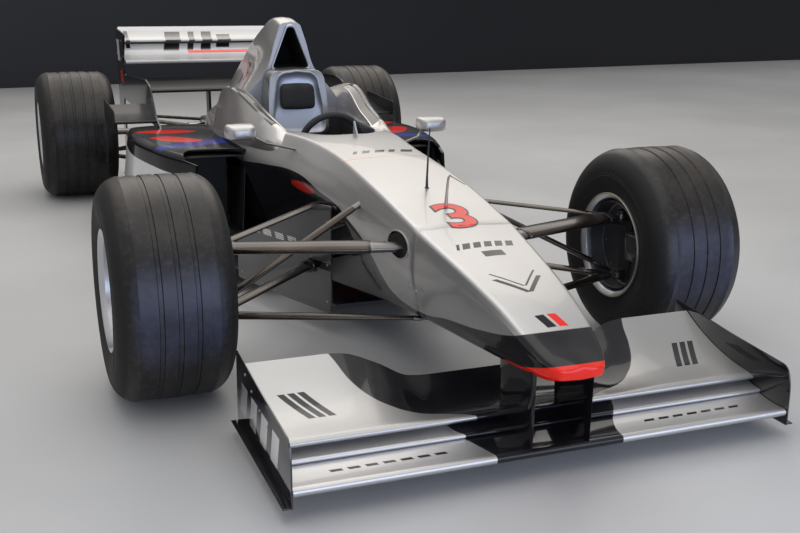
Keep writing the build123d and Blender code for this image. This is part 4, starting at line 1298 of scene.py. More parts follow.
def placed(section: Iterable[Pair], station: float) -> list[Vector]:
    """Points of a cross section at a station."""
    return [at(x, station, z) for x, z in section]


def skin_tree(name: str) -> BVHTree:
    """Ray target of a finished skin, to lay a piece on it."""
    skin = bpy.data.objects[name].data
    return BVHTree.FromPolygons([v.co for v in skin.vertices], [p.vertices for p in skin.polygons])


def fastener(finish: Finish, radius: float, height: float, sides: int = 12) -> Piece:
    """Small fastener head with a recess, its foot at the origin and its axis along z.

    Args:
        finish: Its finish.
        radius: Radius of the head.
        height: Height of the head.
        sides: Sides of the head, six for a hexagon.

    Returns:
        The unit piece.
    """
    rows = []
    for share, level in ((1.0, -0.3), (1.0, 0.55), (0.84, 1.0), (0.5, 1.0), (0.44, 0.5)):
        rows.append([Vector((radius * share * math.cos(a), radius * share * math.sin(a), height * level))
                     for a in turn(sides)])
    return Draft().loft(rows).build("fastener_unit", finish, sharp=40)


def fasten(name: str, seats: Seats, rides: tuple[str, str], finish: Finish, *size: float) -> None:
    """Sets fastener heads on seats.

    Args:
        name: Name of the joined piece.
        seats: Pairs of place and direction.
        rides: The body that they move with and the record's material slot.
        finish: Their finish.
        size: Radius, height and, other than 12, sides of a head.
    """
    fit(Repeat.on_seats(name, seats, fastener(finish, *size), finish), *rides)


@dataclass
class Wheel:
    """One wheel: grooved tyre, spoked rim with its barrel, nut and bolts, and the vented brake disc."""

    axle: Axle
    side: Side
    grooves: int
    groove_pitch: float = 0.050
    groove_depth: float = 0.0032
    shoulder: float = 0.072
    bulge: float = 0.015
    seat: float = 0.1652
    flange: float = 0.1785
    spokes: int = 10
    bolt_circle: float = 0.054
    vents: int = 40

    def __post_init__(self) -> None:
        """Takes the wheel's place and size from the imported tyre."""
        low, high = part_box(f"{self.axle.value}_tyre_{self.side.word}")
        self.centre = (low + high) / 2
        self.half = (high.x - low.x) / 2
        self.radius = (high.z - low.z) / 2
        self.bead = self.half - self.bulge
        self.body = f"{self.axle.value}_wheel_{self.side.word}"

    def _name(self, piece: str) -> str:
        """Full name of one of the wheel's pieces."""
        return f"{self.axle.value}_{piece}_{self.side.word}_detailed"

    def _out(self, profile: Outline) -> list[Pair]:
        """Turns a profile given outwards from the wheel's middle to the wheel's own side."""
        return [(x * self.side.value, r) for x, r in profile]

    def _tyre_profile(self) -> list[Pair]:
        """Section of the tyre: sidewall rings, shoulder step, crowned tread and its grooves.

        Returns:
            The section's points, as offset from the wheel's middle and radius.
        """
        tread = self.half - self.shoulder
        wall = [(self.bead, self.seat), (self.bead, self.flange + 0.004),
                (self.bead + 0.004, self.flange + 0.012), (self.half - 0.006, self.flange + 0.028),
                (self.half - 0.001, self.flange + 0.044)]
        for r in (0.235, 0.243):
            wall += [(self.half, r - 0.002), (self.half + 0.0007, r - 0.001), (self.half + 0.0007, r + 0.001),
                     (self.half, r + 0.002)]
        centre_r, step = self.radius - self.shoulder, tread + 0.020
        for i in range(11):
            a = math.pi / 2 * i / 10
            x, r = tread + self.shoulder * math.cos(a), centre_r + self.shoulder * math.sin(a)
            wall.append((x, r - (0.0012 if x > step else 0.0)))
        first = (self.grooves - 1) / 2 * self.groove_pitch
        top: list[Pair] = []
        for i in range(self.grooves):
            g = first - i * self.groove_pitch
            top += [(g + 0.0072, 0.0), (g + 0.0052, self.groove_depth), (g - 0.0052, self.groove_depth),
                    (g - 0.0072, 0.0)]
            if i < self.grooves - 1:
                top.append((g - self.groove_pitch / 2, 0.0))
        crowned = [(x, self.radius - 0.003 * (x / tread) ** 2 - depth) for x, depth in top]
        wall[-1] = (tread, self.radius - 0.003)
        wall.append((tread * 0.9, self.radius - 0.0024))
        other = [(-x, r) for x, r in reversed(wall)]
        return wall + crowned + other

    def tyre(self) -> None:
        """Builds the tyre."""
        draft = Draft().turned(self._out(self._tyre_profile()), self.centre, 144)
        # Only the front tyres get the cool reflection painted on their front.
        sheen = 0.40 if self.axle is Axle.FRONT else 0.0
        rubber = Palette.tyre(f"{self.axle.value}_{self.side.word}", self.centre, self.radius, sheen)
        piece = draft.build(self._name("tyre"), rubber, sharp=28)
        fit(piece, self.body, "tyre", f"{self.axle.value}_tyre_{self.side.word}")

    def rim(self) -> None:
        """Builds the barrel, its inner edge in bronze as a painted highlight, the hub, the spokes, the bolts
        and the nut.
        """
        bead, flange, seat = self.bead, self.flange, self.seat
        barrel = [
            (bead + 0.007, flange), (bead, flange), (bead, seat), (bead - 0.070, seat), (bead - 0.085, 0.155),
            (0.085 - bead, 0.155), (0.070 - bead, seat), (-bead, seat), (-bead, flange),
            (-bead - 0.007, flange), (-bead - 0.0075, flange - 0.005), (-bead - 0.001, 0.166),
            (0.004 - bead, 0.160), (0.060 - bead, 0.160), (0.075 - bead, 0.150), (bead - 0.090, 0.150),
            (bead - 0.070, 0.158), (bead - 0.008, 0.159), (bead + 0.001, 0.166),
            (bead + 0.0075, flange - 0.005),
        ]
        draft = Draft().turned(self._out(barrel), self.centre, 96)
        face = bead - 0.060
        hub = [(face - 0.026, 0.028), (face - 0.026, 0.052), (face - 0.012, 0.066), (face, 0.068),
               (face + 0.006, 0.058), (face + 0.006, 0.040), (face - 0.004, 0.036), (face - 0.004, 0.028)]
        draft.turned(self._out(hub), self.centre, 64)
        # The inner edge ring takes the bronze, a painted highlight.
        edge = [(-bead - 0.0078, flange + 0.0006), (-bead - 0.0095, flange - 0.0015),
                (-bead - 0.0078, flange - 0.004)]
        draft.turned(self._out(edge), self.centre, 96, 1)
        piece = draft.build(self._name("rim"), Palette.rim, Palette.rim_lip, bevel=0.0008)
        fit(piece, self.body, "rim_paint", f"{self.axle.value}_rim_{self.side.word}")
        sign = self.side.value
        seats = []
        for i in range(self.spokes):
            a = 2 * math.pi * (i + 0.5) / self.spokes
            seats.append((self.centre, Vector((0, math.sin(a), math.cos(a)))))
        spokes = Repeat.on_seats(self._name("spokes"), seats, self._spoke(face * sign, sign), Palette.rim)
        fit(spokes, self.body, "rim_paint")
        bolts = []
        for a in turn(self.spokes):
            y, z = self.bolt_circle * math.sin(a), self.bolt_circle * math.cos(a)
            bolts.append((self.centre + Vector(((face + 0.002) * sign, y, z)), Vector((sign, 0.001, 0))))
        fasten(self._name("wheel_bolts"), bolts, (self.body, "shaft_steel"), Palette.steel, 0.0052, 0.005)
        nut_seat = [(self.centre + Vector(((face - 0.006) * sign, 0, 0)), Vector((sign, 0.001, 0)))]
        fasten(self._name("wheel_nut"), nut_seat, (self.body, "rim_paint"), Palette.rim_lip, 0.033, 0.030, 6)

    def _spoke(self, face: float, sign: int) -> Piece:
        """One spoke along z from the hub to the barrel, flared at both ends and hollowed on its face.

        Args:
            face: Offset of the hub's outer face.
            sign: The wheel's side, as the sign of x.

        Returns:
            The unit piece.
        """
        rows = []
        for r, half, back in ((0.060, 0.017, 0.020), (0.075, 0.012, 0.016), (0.100, 0.0105, 0.014),
                              (0.125, 0.012, 0.014), (0.145, 0.019, 0.016), (0.1575, 0.030, 0.024)):
            drop = 0.006 * (r - 0.06) / 0.1
            front, rear = face + sign * drop, face - sign * (back - drop)
            ridge = sign * 0.0025
            rows.append([
                Vector((front - ridge, -half, r)), Vector((front, -half * 0.6, r)),
                Vector((front - ridge, 0, r)), Vector((front, half * 0.6, r)),
                Vector((front - ridge, half, r)), Vector((rear, half * 0.8, r)),
                Vector((rear, -half * 0.8, r)),
            ])
        return Draft().loft(rows).build("spoke_unit", Palette.rim, bevel=0.0012)

    def disc(self) -> None:
        """Builds the brake disc with its bell and vents."""
        face = self.bead - 0.086
        ring = [(-0.034, 0.088), (-0.034, 0.130), (-0.0335, 0.1305), (-0.0065, 0.1305), (-0.006, 0.130),
                (-0.006, 0.086), (face - 0.014, 0.052), (face, 0.044), (face, 0.027), (face - 0.010, 0.027),
                (face - 0.024, 0.046), (-0.012, 0.080)]
        draft = Draft().turned(self._out(ring), self.centre, 72)
        piece = draft.build(self._name("disc"), Palette.disc, bevel=0.0006)
        fit(piece, self.body, "disc_carbon", f"{self.axle.value}_disc_{self.side.word}")
        # The vents are near-black discs on the disc's edge, painted shade where vent holes would be.
        seats = []
        for a in turn(self.vents):
            way = Vector((0, math.sin(a + 0.001), math.cos(a + 0.001)))
            seats.append((self.centre + Vector((-0.020 * self.side.value, 0, 0)) + way * 0.1303, way))
        fasten(self._name("disc_vents"), seats, (self.body, "disc_carbon"), Palette.void, 0.0038, 0.0006, 8)

    def build(self) -> None:
        """Builds the whole wheel."""
        self.tyre()
        self.rim()
        self.disc()


@dataclass
class BrakeDuct:
    """Black drum and cooling scoop inside a front wheel, carried by the knuckle."""

    side: Side
    inner: float = 0.746
    outer: float = 0.788
    radius: float = 0.150

    def build(self) -> None:
        """Builds the drum with its scoop and clips."""
        sign = self.side.value
        centre = at(0, 0, AXLE_Z)
        drum = [(0.690, self.radius - 0.0022), (0.692, self.radius), (0.742, self.radius), (0.752, 0.1448),
                (self.outer, 0.1448), (self.outer, 0.1425), (0.754, 0.1425), (0.750, 0.139), (0.750, 0.020),
                (self.inner, 0.020), (self.inner, 0.139), (0.742, self.radius - 0.0045),
                (0.694, self.radius - 0.003)]
        draft = Draft().turned([(x * sign, r) for x, r in drum], centre, 72)
        outline = rounded([(0.726, 0.270), (0.726, 0.372), (0.770, 0.372), (0.770, 0.270)], [0.014] * 4, 4)
        mouth = [[at(x * sign, y, z) for x, z in outline] for y in (-0.02, -0.128)]
        inside = [[at((0.748 + (x - 0.748) * 0.86) * sign, y, 0.321 + (z - 0.321) * 0.9) for x, z in outline]
                  for y in (-0.128, -0.05)]
        draft.loft(mouth + inside)
        piece = draft.build(f"brake_duct_{self.side.word}", Palette.carbon, bevel=0.0008)
        fit(piece, f"knuckle_{self.side.word}", "carbon")
        seats = [(centre + Vector((self.inner * sign, 0.127 * math.sin(a), 0.127 * math.cos(a))),
                  Vector((-sign, 0.001, 0))) for a in spread(0.3, 5.9, 9)]
        fasten(f"brake_duct_screws_{self.side.word}", seats, (f"knuckle_{self.side.word}", "castings"),
               Palette.castings, 0.0035, 0.003)


@dataclass
class Body:
    """Nose, tub, head protection, engine cover and shroud, as smooth skins over the part's own sections."""

    nose_stations: Table = (
        (-0.970, 0.060, 0.320, 0.064, 0.303, 0.058, 0.288),
        (-0.925, 0.084, 0.339, 0.087, 0.312, 0.076, 0.276),
        (-0.720, 0.114, 0.416, 0.118, 0.345, 0.095, 0.260),
        (-0.300, 0.153, 0.507, 0.166, 0.365, 0.118, 0.233),
    )
    tub_stations: Table = (
        (-0.300, 0.153, 0.507, 0.166, 0.365, 0.118, 0.233), (0.060, 0.158, 0.567, 0.192, 0.425, 0.134, 0.195),
        (0.420, 0.154, 0.605, 0.216, 0.478, 0.150, 0.140), (0.727, 0.178, 0.620, 0.252, 0.488, 0.172, 0.098),
        (1.100, 0.222, 0.606, 0.288, 0.478, 0.205, 0.055), (1.560, 0.245, 0.600, 0.304, 0.468, 0.235, 0.055),
    )
    cockpit: Table = (
        (0.735, 0.0, 0.0, 0.600), (0.742, 0.052, 0.040, 0.480), (0.760, 0.088, 0.075, 0.300),
        (0.800, 0.118, 0.100, 0.190), (1.060, 0.178, 0.150, 0.110), (1.400, 0.200, 0.175, 0.085),
    )
    surround: Table = (
        (0.930, 0.214, 0.612, 0.250, 0.575, 0.200), (1.200, 0.246, 0.668, 0.288, 0.560, 0.205),
        (1.500, 0.276, 0.728, 0.316, 0.545, 0.214), (1.760, 0.262, 0.690, 0.310, 0.526, 0.190),
        (1.960, 0.222, 0.600, 0.262, 0.524, 0.170),
    )
    cover: Table = (
        (1.560, 0.300, 0.470, 0.258, 0.605, 0.104, 0.790, 0.044, 0.988),
        (1.680, 0.298, 0.470, 0.250, 0.596, 0.100, 0.785, 0.040, 1.005),
        (2.000, 0.272, 0.468, 0.214, 0.572, 0.080, 0.740, 0.030, 0.928),
        (2.400, 0.212, 0.450, 0.150, 0.532, 0.056, 0.640, 0.022, 0.764),
        (2.850, 0.130, 0.420, 0.088, 0.470, 0.040, 0.500, 0.016, 0.548),
    )
    cockpit_end: float = 1.45
    inside_points: int = 22
    flank_points: int = 32
    section_middle: float = 0.37
    airbox_middle: float = 0.884
    tip: tuple[Pair, ...] = ((-0.9795, 0.30), (-0.9790, 0.62), (-0.9760, 0.85))
    joint_share: float = 0.992
    pad_low: float = 0.631
    pad_top: float = 0.738
    number_station: float = -0.215
    number_size: float = 0.25
    corner_cuts: tuple[float, ...] = (0.015, 0.045, 0.020, 0.020, 0.045, 0.015)
    crowns: tuple[float, ...] = (0.002, 0.002, 0.002, 0.002, 0.002, 0.006)

    def _ring(self, row: Sequence[float], share: float = 1.0) -> list[Pair]:
        """Closed section of the nose or the tub from the three corners of its half.

        Args:
            row: Width and height of each corner, from the top.
            share: Share of the full rounding.

        Returns:
            The section's points, as side and height.
        """
        half = list(zip(row[0::2], row[1::2]))
        cuts = [cut * share for cut in self.corner_cuts]
        return ring_row(mirrored_corners(half), cuts, self.crowns)

    @staticmethod
    def _shrunk(row: Sequence[float], share: float, middle: float) -> list[float]:
        """A row of widths and heights, drawn in towards a middle height."""
        return [value * share if i % 2 == 0 else middle + (value - middle) * share
                for i, value in enumerate(row)]

    def nose(self) -> None:
        """Builds the nose cone with its rounded tip and a fine joint at its back."""
        rows = []
        tip = smooth_row(-0.970, self.nose_stations)
        middle = (tip[1] + tip[5]) / 2
        for station, share in self.tip:
            rows.append(placed(self._ring(self._shrunk(tip, share, middle), 0.8), station))
        for station in [*spread(-0.970, -0.925, 5), *spread(-0.90, -0.304, 26)]:
            share = smooth_value(station, (-0.97, -0.925, -0.72), (0.6, 0.8, 1.0))
            rows.append(placed(self._ring(smooth_row(station, self.nose_stations), share), station))
        last = self.nose_stations[-1][1:]
        rows.append(placed(self._ring(last), -0.3015))
        rows.append(placed(self._ring(self._shrunk(last, self.joint_share, self.section_middle)), -0.3005))
        piece = Draft().loft(rows).build("nose_skin", Palette.body, sharp=50)
        fit(piece, "chassis", "body_silver", "nose_cone")

    def _tub_row(self, station: float) -> list[Vector]:
        """Closed row of the tub: outside from rim to rim, then the cockpit's inside back to the start.

        Args:
            station: The row's station.

        Returns:
            The row's points.
        """
        outer = self._ring(smooth_row(station, self.tub_stations))
        rim, low, floor = smooth_row(station, self.cockpit)
        if not self.cockpit[0][0] <= station <= self.cockpit_end:
            rim = 0.0
        corner = outer[0]
        crown = 0.006 * (1 - rim / 0.2)
        lid = [(rim + (corner[0] - rim) * t, corner[1] + crown * (1 - t * t)) for t in spread(0, 1, 7)[:-1]]
        half = lid + [point for point in outer[:self.flank_points] if point[0] >= -1e-9]
        outside = half + [(-x, z) for x, z in reversed(half)]
        top = outside[0][1]
        if rim <= 0.0:
            inside = [(0.0, top)] * self.inside_points
        else:
            deep = min(1.0, (top - floor) / 0.4)
            wall = [(rim - 0.002, top - 0.003), (rim - 0.003, top - 0.012 * deep),
                    (rim - 0.003, top - 0.06 * deep), (rim - 0.004, floor + 0.20 * deep),
                    (rim - 0.008, floor + 0.13 * deep), (rim - 0.020, floor + 0.08 * deep),
                    (low + 0.004, floor + 0.04 * deep), (low - 0.012, floor + 0.012 * deep),
                    (low - 0.04, floor), (low * 0.5, floor), (0.012, floor)]
            wall = [(max(x, 0.001), min(z, top)) for x, z in wall]
            inside = [(-x, z) for x, z in wall] + [(x, z) for x, z in reversed(wall)]
        return placed(outside + inside, station)

    def tub(self) -> None:
        """Builds the monocoque with the cockpit open at its top, as one closed shell."""
        stations = [-0.298, *spread(-0.26, 0.70, 22), 0.7345, 0.735, 0.737, 0.740, 0.744, 0.750, 0.757, 0.766,
                    0.778, *spread(0.80, self.cockpit_end, 16), self.cockpit_end + 0.002, 1.48, 1.52, 1.558]
        rows = [self._tub_row(station) for station in stations]
        middle, share = self.section_middle, self.joint_share
        front = [Vector((p.x * share, p.y - 0.0015, middle + (p.z - middle) * share)) for p in rows[0]]
        draft = Draft().grid([front, *rows], ring=True)
        width = len(rows[0])
        outside = width - self.inside_points
        for number, face in enumerate(draft.faces):
            if all(index % width >= outside - 1 for index in face):
                draft.finishes[number] = 1
        end = len(rows) * width
        draft.faces += [tuple(range(outside, -1, -1)), tuple(range(end, end + outside))]
        draft.finishes += [0, 0]
        piece = draft.build("tub_skin", Palette.body, Palette.carbon, sharp=45)
        fit(piece, "chassis", "body_silver", "monocoque")

    def humps(self) -> None:
        """Builds the head protection: two humps in a silver painted lighter than the body's as a highlight,
        whose crests hold a recessed dark strip with bright edges.
        """
        lowest = (0.893, 0.192, 0.590, 0.221, 0.560, 0.182)
        table = (lowest, *self.surround)
        stations = [0.893, 0.905, 0.920, 0.935, *spread(0.96, 1.94, 40), 1.955]
        for side in Side:
            rows = []
            for station in stations:
                ridge, ridge_z, outer, outer_z, inner = smooth_row(station, table)
                slot = 0.0045 * smooth_value(station, (0.97, 1.02, 1.50, 1.54), (0.0, 1.0, 1.0, 0.0))
                middle, middle_z = ridge - 0.034, ridge_z - 0.010
                tilt = 0.026 / max(ridge - inner, 0.02) * 0.6
                strip = []
                for offset, depth in ((-1.0, 0.0), (-0.86, 0.0), (-0.82, 1.0), (0.0, 1.15), (0.82, 1.0),
                                      (0.86, 0.0), (1.0, 0.0)):
                    x = middle + offset * 0.024 * 0.8
                    strip.append((x, middle_z + (x - middle) * tilt - slot * depth))
                foot_z = outer_z - 0.04
                row = [(inner, foot_z), (inner, ridge_z - 0.034), (inner + 0.004, ridge_z - 0.026), *strip,
                       (ridge - 0.004, ridge_z - 0.0015), (ridge + 0.004, ridge_z - 0.006),
                       (ridge + (outer - ridge) * 0.5, ridge_z + (outer_z - ridge_z) * 0.44),
                       (outer - 0.003, outer_z + 0.008), (outer, outer_z - 0.004), (outer - 0.012, foot_z)]
                rows.append(placed([(x * side.value, z) for x, z in row], station))
            draft = Draft().loft(rows)
            width = len(rows[0])
            for number, face in enumerate(draft.faces[:-2]):
                station = rows[min(face) // width][0].y - AXLE_Y
                if all(5 <= index % width <= 11 for index in face) and 1.0 < station < 1.52:
                    draft.finishes[number] = 1
            piece = draft.build(f"head_protection_{side.word}", Palette.humps, Palette.black, sharp=32)
            fit(piece, "chassis", "body_silver", *(["cockpit_surround"] if side is Side.LEFT else []))

    def _shroud_front(self, z: float) -> float:
        """Station of the shroud's leaning front at a height."""
        return 1.426 + 0.034 * max(0.0, (z - 0.545) / 0.249)

    def shroud(self) -> None:
        """Builds the dished shroud behind the driver's head and its pad."""
        low, top, half = 0.520, 0.796, 0.122
        frame_corners = [(half, top), (half + 0.014, low), (-half - 0.014, low), (-half, top)]
        dish_corners = [(0.091, 0.791), (0.124, 0.528), (-0.124, 0.528), (-0.091, 0.791)]
        centre_z = 0.665
        rows = []
        plan = ((1.556, 1.0, frame_corners), (1.470, 1.0, frame_corners), (0.006, 1.0, frame_corners),
                (0.001, 0.985, frame_corners), (0.0, 1.0, dish_corners), (-0.003, 0.985, dish_corners),
                (-0.002, 0.955, dish_corners), (0.004, 0.925, dish_corners), (0.011, 0.88, dish_corners),
                (0.017, 0.80, dish_corners), (0.020, 0.66, dish_corners))
        for depth, share, corners in plan:
            points = ring_row([(x * share, centre_z + (z - centre_z) * share) for x, z in corners],
                              [0.052 * share, 0.040, 0.040, 0.052 * share], [0.003, 0.0, 0.003, 0.004], 7, 7)
            if depth < 1.0:
                lift = 0.006 if depth > 0.015 else 0.0
                rows.append([at(x, self._shroud_front(z) + depth - (lift if z < 0.63 else 0.0), z)
                             for x, z in points])
            else:
                rows.append(placed(points, depth))
        # The shroud's outer shell and rims take the darker silver, painted shade; the dish takes the bluish
        # silver.
        draft = Draft().grid(rows[:5], ring=True, finish=1).grid(rows[4:], ring=True)
        width = len(rows[0])
        draft.faces += [tuple(range(width - 1, -1, -1)),
                        tuple(range(len(draft.points) - width, len(draft.points)))]
        draft.finishes += [1, 0]
        piece = draft.build("head_shroud", Palette.roll, Palette.shade, sharp=45)
        fit(piece, "chassis", "roll_silver", "roll_structure")
        pad_rows = []
        pad_middle = (self.pad_low + self.pad_top) / 2
        corners = mirrored_corners([(0.072, self.pad_top), (0.077, self.pad_low)])
        plan = ((0.040, 0.96), (0.024, 1.0), (0.010, 1.0), (0.001, 0.985), (-0.006, 0.94), (-0.0105, 0.84),
                (-0.0135, 0.66), (-0.0150, 0.42), (-0.0155, 0.18))
        for depth, share in plan:
            points = ring_row([(x * share, pad_middle + (z - pad_middle) * share) for x, z in corners],
                              [0.026 * share] * 4, [0.0015] * 4, 7, 7)
            pad_rows.append([at(x, self._shroud_front(z) + depth, z) for x, z in points])
        pad = Draft().loft(pad_rows).build("head_pad", Palette.pad, sharp=60)
        fit(pad, "chassis", "pad", "headrest_pad")

    def engine_cover(self) -> None:
        """Builds the engine cover, the airbox mouth with its pale lip, a painted highlight, and the duct
        behind it, lined and closed in near-black as painted shade.
        """
        cuts = (0.020, 0.050, 0.055, 0.012, 0.012, 0.055, 0.050, 0.020)
        bulges = (0.002, 0.004, 0.004, 0.0, 0.004, 0.004, 0.002, 0.002)
        rows = []
        for station in [*spread(1.562, 2.82, 44), 2.845, 2.849]:
            row = smooth_row(station, self.cover)
            half = [(row[6], row[7]), (row[4], row[5]), (row[2], row[3]), (row[0], row[1])]
            rows.append(placed(ring_row(mirrored_corners(half), cuts, bulges, 6, 6), station))
        front = rows[0]
        mouth = rounded([(0.014, 0.972), (0.084, 0.794), (-0.084, 0.794), (-0.014, 0.972)],
                        [0.013, 0.020, 0.020, 0.013], 6)
        mouth_row = self._matched(front, mouth, 0.88)
        outer = [(x * 1.12, self.airbox_middle + (z - self.airbox_middle) * 1.09) for x, z in mouth]
        lip_row = self._matched(front, outer, 0.88)
        edge = [at(p.x, 1.5605, p.z) for p in front]
        outer_lip, inner_lip = placed(lip_row, 1.560), placed(mouth_row, 1.560)
        middle = self.airbox_middle
        duct = [[at(x * share, y, middle + (z - middle) * share) for x, z in mouth_row]
                for y, share in ((1.575, 0.99), (1.66, 0.96), (1.80, 0.90))]
        draft = Draft().grid([*reversed(rows), edge], ring=True)
        # The face round the mouth takes the darker silver, painted shade.
        draft.grid([edge, outer_lip, inner_lip], ring=True, finish=2)
        # The duct and the sheet that closes it are near-black, painted shade.
        draft.grid([inner_lip, *duct], ring=True, finish=1)
        width = len(front)
        last = len(draft.points) - width
        draft.faces += [tuple(range(width)), tuple(range(last, last + width))]
        draft.finishes += [0, 1]
        piece = draft.build("engine_cover_skin", Palette.cover, Palette.void, Palette.shade, sharp=40)
        fit(piece, "chassis", "body_silver", "engine_cover")
        # The lip's pale colour is a painted highlight.
        loop = rounded([(0.0155, 0.977), (0.088, 0.791), (-0.088, 0.791), (-0.0155, 0.977)],
                       [0.015, 0.022, 0.022, 0.015], 7)
        rows = []
        for x, z in loop + loop[:1]:
            out = Vector((x, 0, z - 0.872)).normalized()
            rows.append([at(x, 1.558, z) + out * 0.0075 * math.cos(a) - Vector((0, 0.009, 0)) * math.sin(a)
                         for a in turn(10)])
        lip = Draft().grid(rows, ring=True).build("airbox_lip", Palette.pale_lip, sharp=60)
        fit(lip, "chassis", "body_silver")

    @staticmethod
    def _matched(ring: Row, outline: Outline, centre_z: float) -> list[Pair]:
        """Points of an outline where rays from a centre through a ring's points leave it.

        Args:
            ring: The ring.
            outline: The outline, as side and height.
            centre_z: Height of the centre, on the car's middle.

        Returns:
            One point for each of the ring's.
        """
        corners = [Vector(corner) - Vector((0, centre_z)) for corner in outline]
        count, found = len(corners), []
        for point in ring:
            way = Vector((point.x, point.z - centre_z)).normalized()
            best = 0.0
            for i in range(count):
                a, run = corners[i], corners[(i + 1) % count] - corners[i]
                cross = way.x * run.y - way.y * run.x
                if abs(cross) < 1e-9:
                    continue
                reach = (a.x * run.y - a.y * run.x) / cross
                share = (a.x * way.y - a.y * way.x) / cross
                if reach > 0 and -1e-6 <= share <= 1 + 1e-6:
                    best = max(best, reach)
            found.append((way.x * best, centre_z + way.y * best))
        return found

    def fasteners(self) -> None:
        """Sets the quarter-turn fasteners of the engine cover and the nose."""
        seats = []
        for station in spread(1.66, 2.62, 7):
            row = smooth_row(station, self.cover)
            for side in Side:
                out = Vector((side.value * 0.9, 0, 0.4)).normalized()
                middle = Vector(((row[0] + row[2]) / 2 + 0.004, 0, (row[1] + row[3]) / 2))
                seats.append((at(side.value * middle.x, station, middle.z) - out * 0.001, out))
        for station in (-0.28, -0.32):
            row = smooth_row(station, self.tub_stations if station > -0.3 else self.nose_stations)
            for side in Side:
                seats.append((at(side.value * (row[2] - 0.001), station, row[3] - 0.03),
                              Vector((side.value, 0, -0.25))))
        fasten("panel_fasteners", seats, ("chassis", "castings"), Palette.steel, 0.0055, 0.0018)

    def number(self) -> None:
        """Lays the race number, red with a black edge, on the tub."""
        trees = [skin_tree("nose_skin"), skin_tree("tub_skin")]
        for name, finish, offset, lift in (("number_edge", Palette.outline, 0.006, 0.0005),
                                           ("number_face", Palette.number, 0.0, 0.0009)):
            curve = bpy.data.curves.new(name, "FONT")
            curve.body, curve.size, curve.offset = "3", self.number_size, offset + 0.004
            curve.align_x, curve.align_y = "CENTER", "CENTER"
            text = linked(name, curve)
            mesh = evaluated(text)
            bpy.data.objects.remove(text)
            shaping = bmesh.new()
            shaping.from_mesh(mesh)
            bmesh.ops.triangulate(shaping, faces=shaping.faces)
            for _ in range(4):
                long = [edge for edge in shaping.edges if edge.calc_length() > 0.010]
                bmesh.ops.subdivide_edges(shaping, edges=long, cuts=1)
                bmesh.ops.triangulate(shaping, faces=shaping.faces)
            for vertex in shaping.verts:
                spot = at(vertex.co.x * 0.96, self.number_station - vertex.co.y * 0.95, 0)
                found = [tree.ray_cast(Vector((spot.x, spot.y + gap, 2.0)), Vector((0, 0, -1)))[:2]
                         for tree in trees for gap in (0.0, 0.003)]
                hit, normal = next(pair for pair in found if pair[0])
                vertex.co = Vector((spot.x, spot.y, hit.z)) + normal * lift
            bmesh.ops.recalc_face_normals(shaping, faces=shaping.faces)
            if sum(face.normal.z for face in shaping.faces) < 0:
                bmesh.ops.reverse_faces(shaping, faces=shaping.faces)
            shaping.to_mesh(mesh)
            shaping.free()
            mesh.materials.clear()
            mesh.materials.append(finish.material())
            fit(linked(name, mesh), "chassis", "body_silver")

    def build(self) -> None:
        """Builds the whole body."""
        self.nose()
        self.tub()
        self.humps()
        self.shroud()
        self.engine_cover()
        self.fasteners()
        self.number()


@dataclass
class Sidepods:
    """Sidepod skins with their scooped inlets."""

    sections: Table = (
        (1.060, 0.262, 0.522, 0.502, 0.536), (1.400, 0.262, 0.618, 0.498, 0.634),
        (1.780, 0.262, 0.668, 0.490, 0.688), (2.150, 0.262, 0.640, 0.474, 0.668),
        (2.500, 0.200, 0.470, 0.430, 0.520),
    )
    lip: tuple[Pair, ...] = ((0.26, 1.235), (0.36, 1.285), (0.44, 1.290), (0.52, 1.17), (0.60, 1.062))
    bottom: float = 0.105
    wall: float = 0.010
    rounding: float = 0.030
    front: float = 1.06
    back: float = 2.5
    end_shares: tuple[Pair, ...] = ((0.96, 2.506), (0.5, 2.508), (0.0, 2.508))

    def _section(self, station: float) -> list[Pair]:
        """Open section from the tub over the top and down the side.

        Args:
            station: The section's station.

        Returns:
            The section's points, as side and height.
        """
        inner, outer, top, low = smooth_row(station, self.sections)
        rounding = self.rounding
        points = [(inner + (outer - rounding - inner) * t, top + 0.004 * arc(t)) for t in spread(0, 1, 12)]
        for i in range(1, 7):
            a = math.pi / 2 * i / 7
            points.append((outer - rounding + rounding * math.sin(a),
                           top - rounding + rounding * math.cos(a)))
        for t in spread(0, 1, 9):
            side = outer + (low - outer) * t
            points.append((side + 0.005 * arc(t), top - rounding + (self.bottom + 0.02 - top + rounding) * t))
        points += [(low - 0.006, self.bottom + 0.006), (low - 0.022, self.bottom)]
        return points

    def build(self) -> None:
        """Builds both sidepods."""
        xs, ys = [x for x, _ in self.lip], [y for _, y in self.lip]
        first = self._section(self.front)
        starts = [smooth_value(x, xs, ys) if z > 0.485 else self.front for x, z in first]
        for side in Side:
            rows = []
            for t in spread(0, 1, 44):
                row = []
                for i, start in enumerate(starts):
                    station = start + (self.back - start) * t ** 1.15
                    x, z = self._section(station)[i]
                    row.append(at(x * side.value, station, z))
                rows.append(row)
            end = self._section(self.back)
            for share, station in self.end_shares:
                rows.append([at(side.value * (0.2 + (x - 0.2) * share), station,
                                z - (0.004 if z > 0.3 else 0.0)) for x, z in end])
            piece = Draft().grid(rows).build(f"sidepod_skin_{side.word}", Palette.sidepod, sharp=40,
                                             wall=self.wall, bevel=0.002)
            fit(piece, "chassis", "sidepod_paint", f"sidepod_{side.word}")
            duct = [rounded([(0.280, 0.478), (outer, 0.478), (outer, 0.130), (0.300, 0.130)], [0.03] * 4, 4)
                    for outer in (0.560, 0.600)]
            rows = [placed([(x * side.value, z) for x, z in ring], station)
                    for ring, station in zip(duct, (1.25, 1.486))]
            lining = Draft().grid(rows, ring=True).build(f"inlet_duct_{side.word}", Palette.carbon,
                                                         wall=0.003)
            fit(lining, "chassis", "carbon")


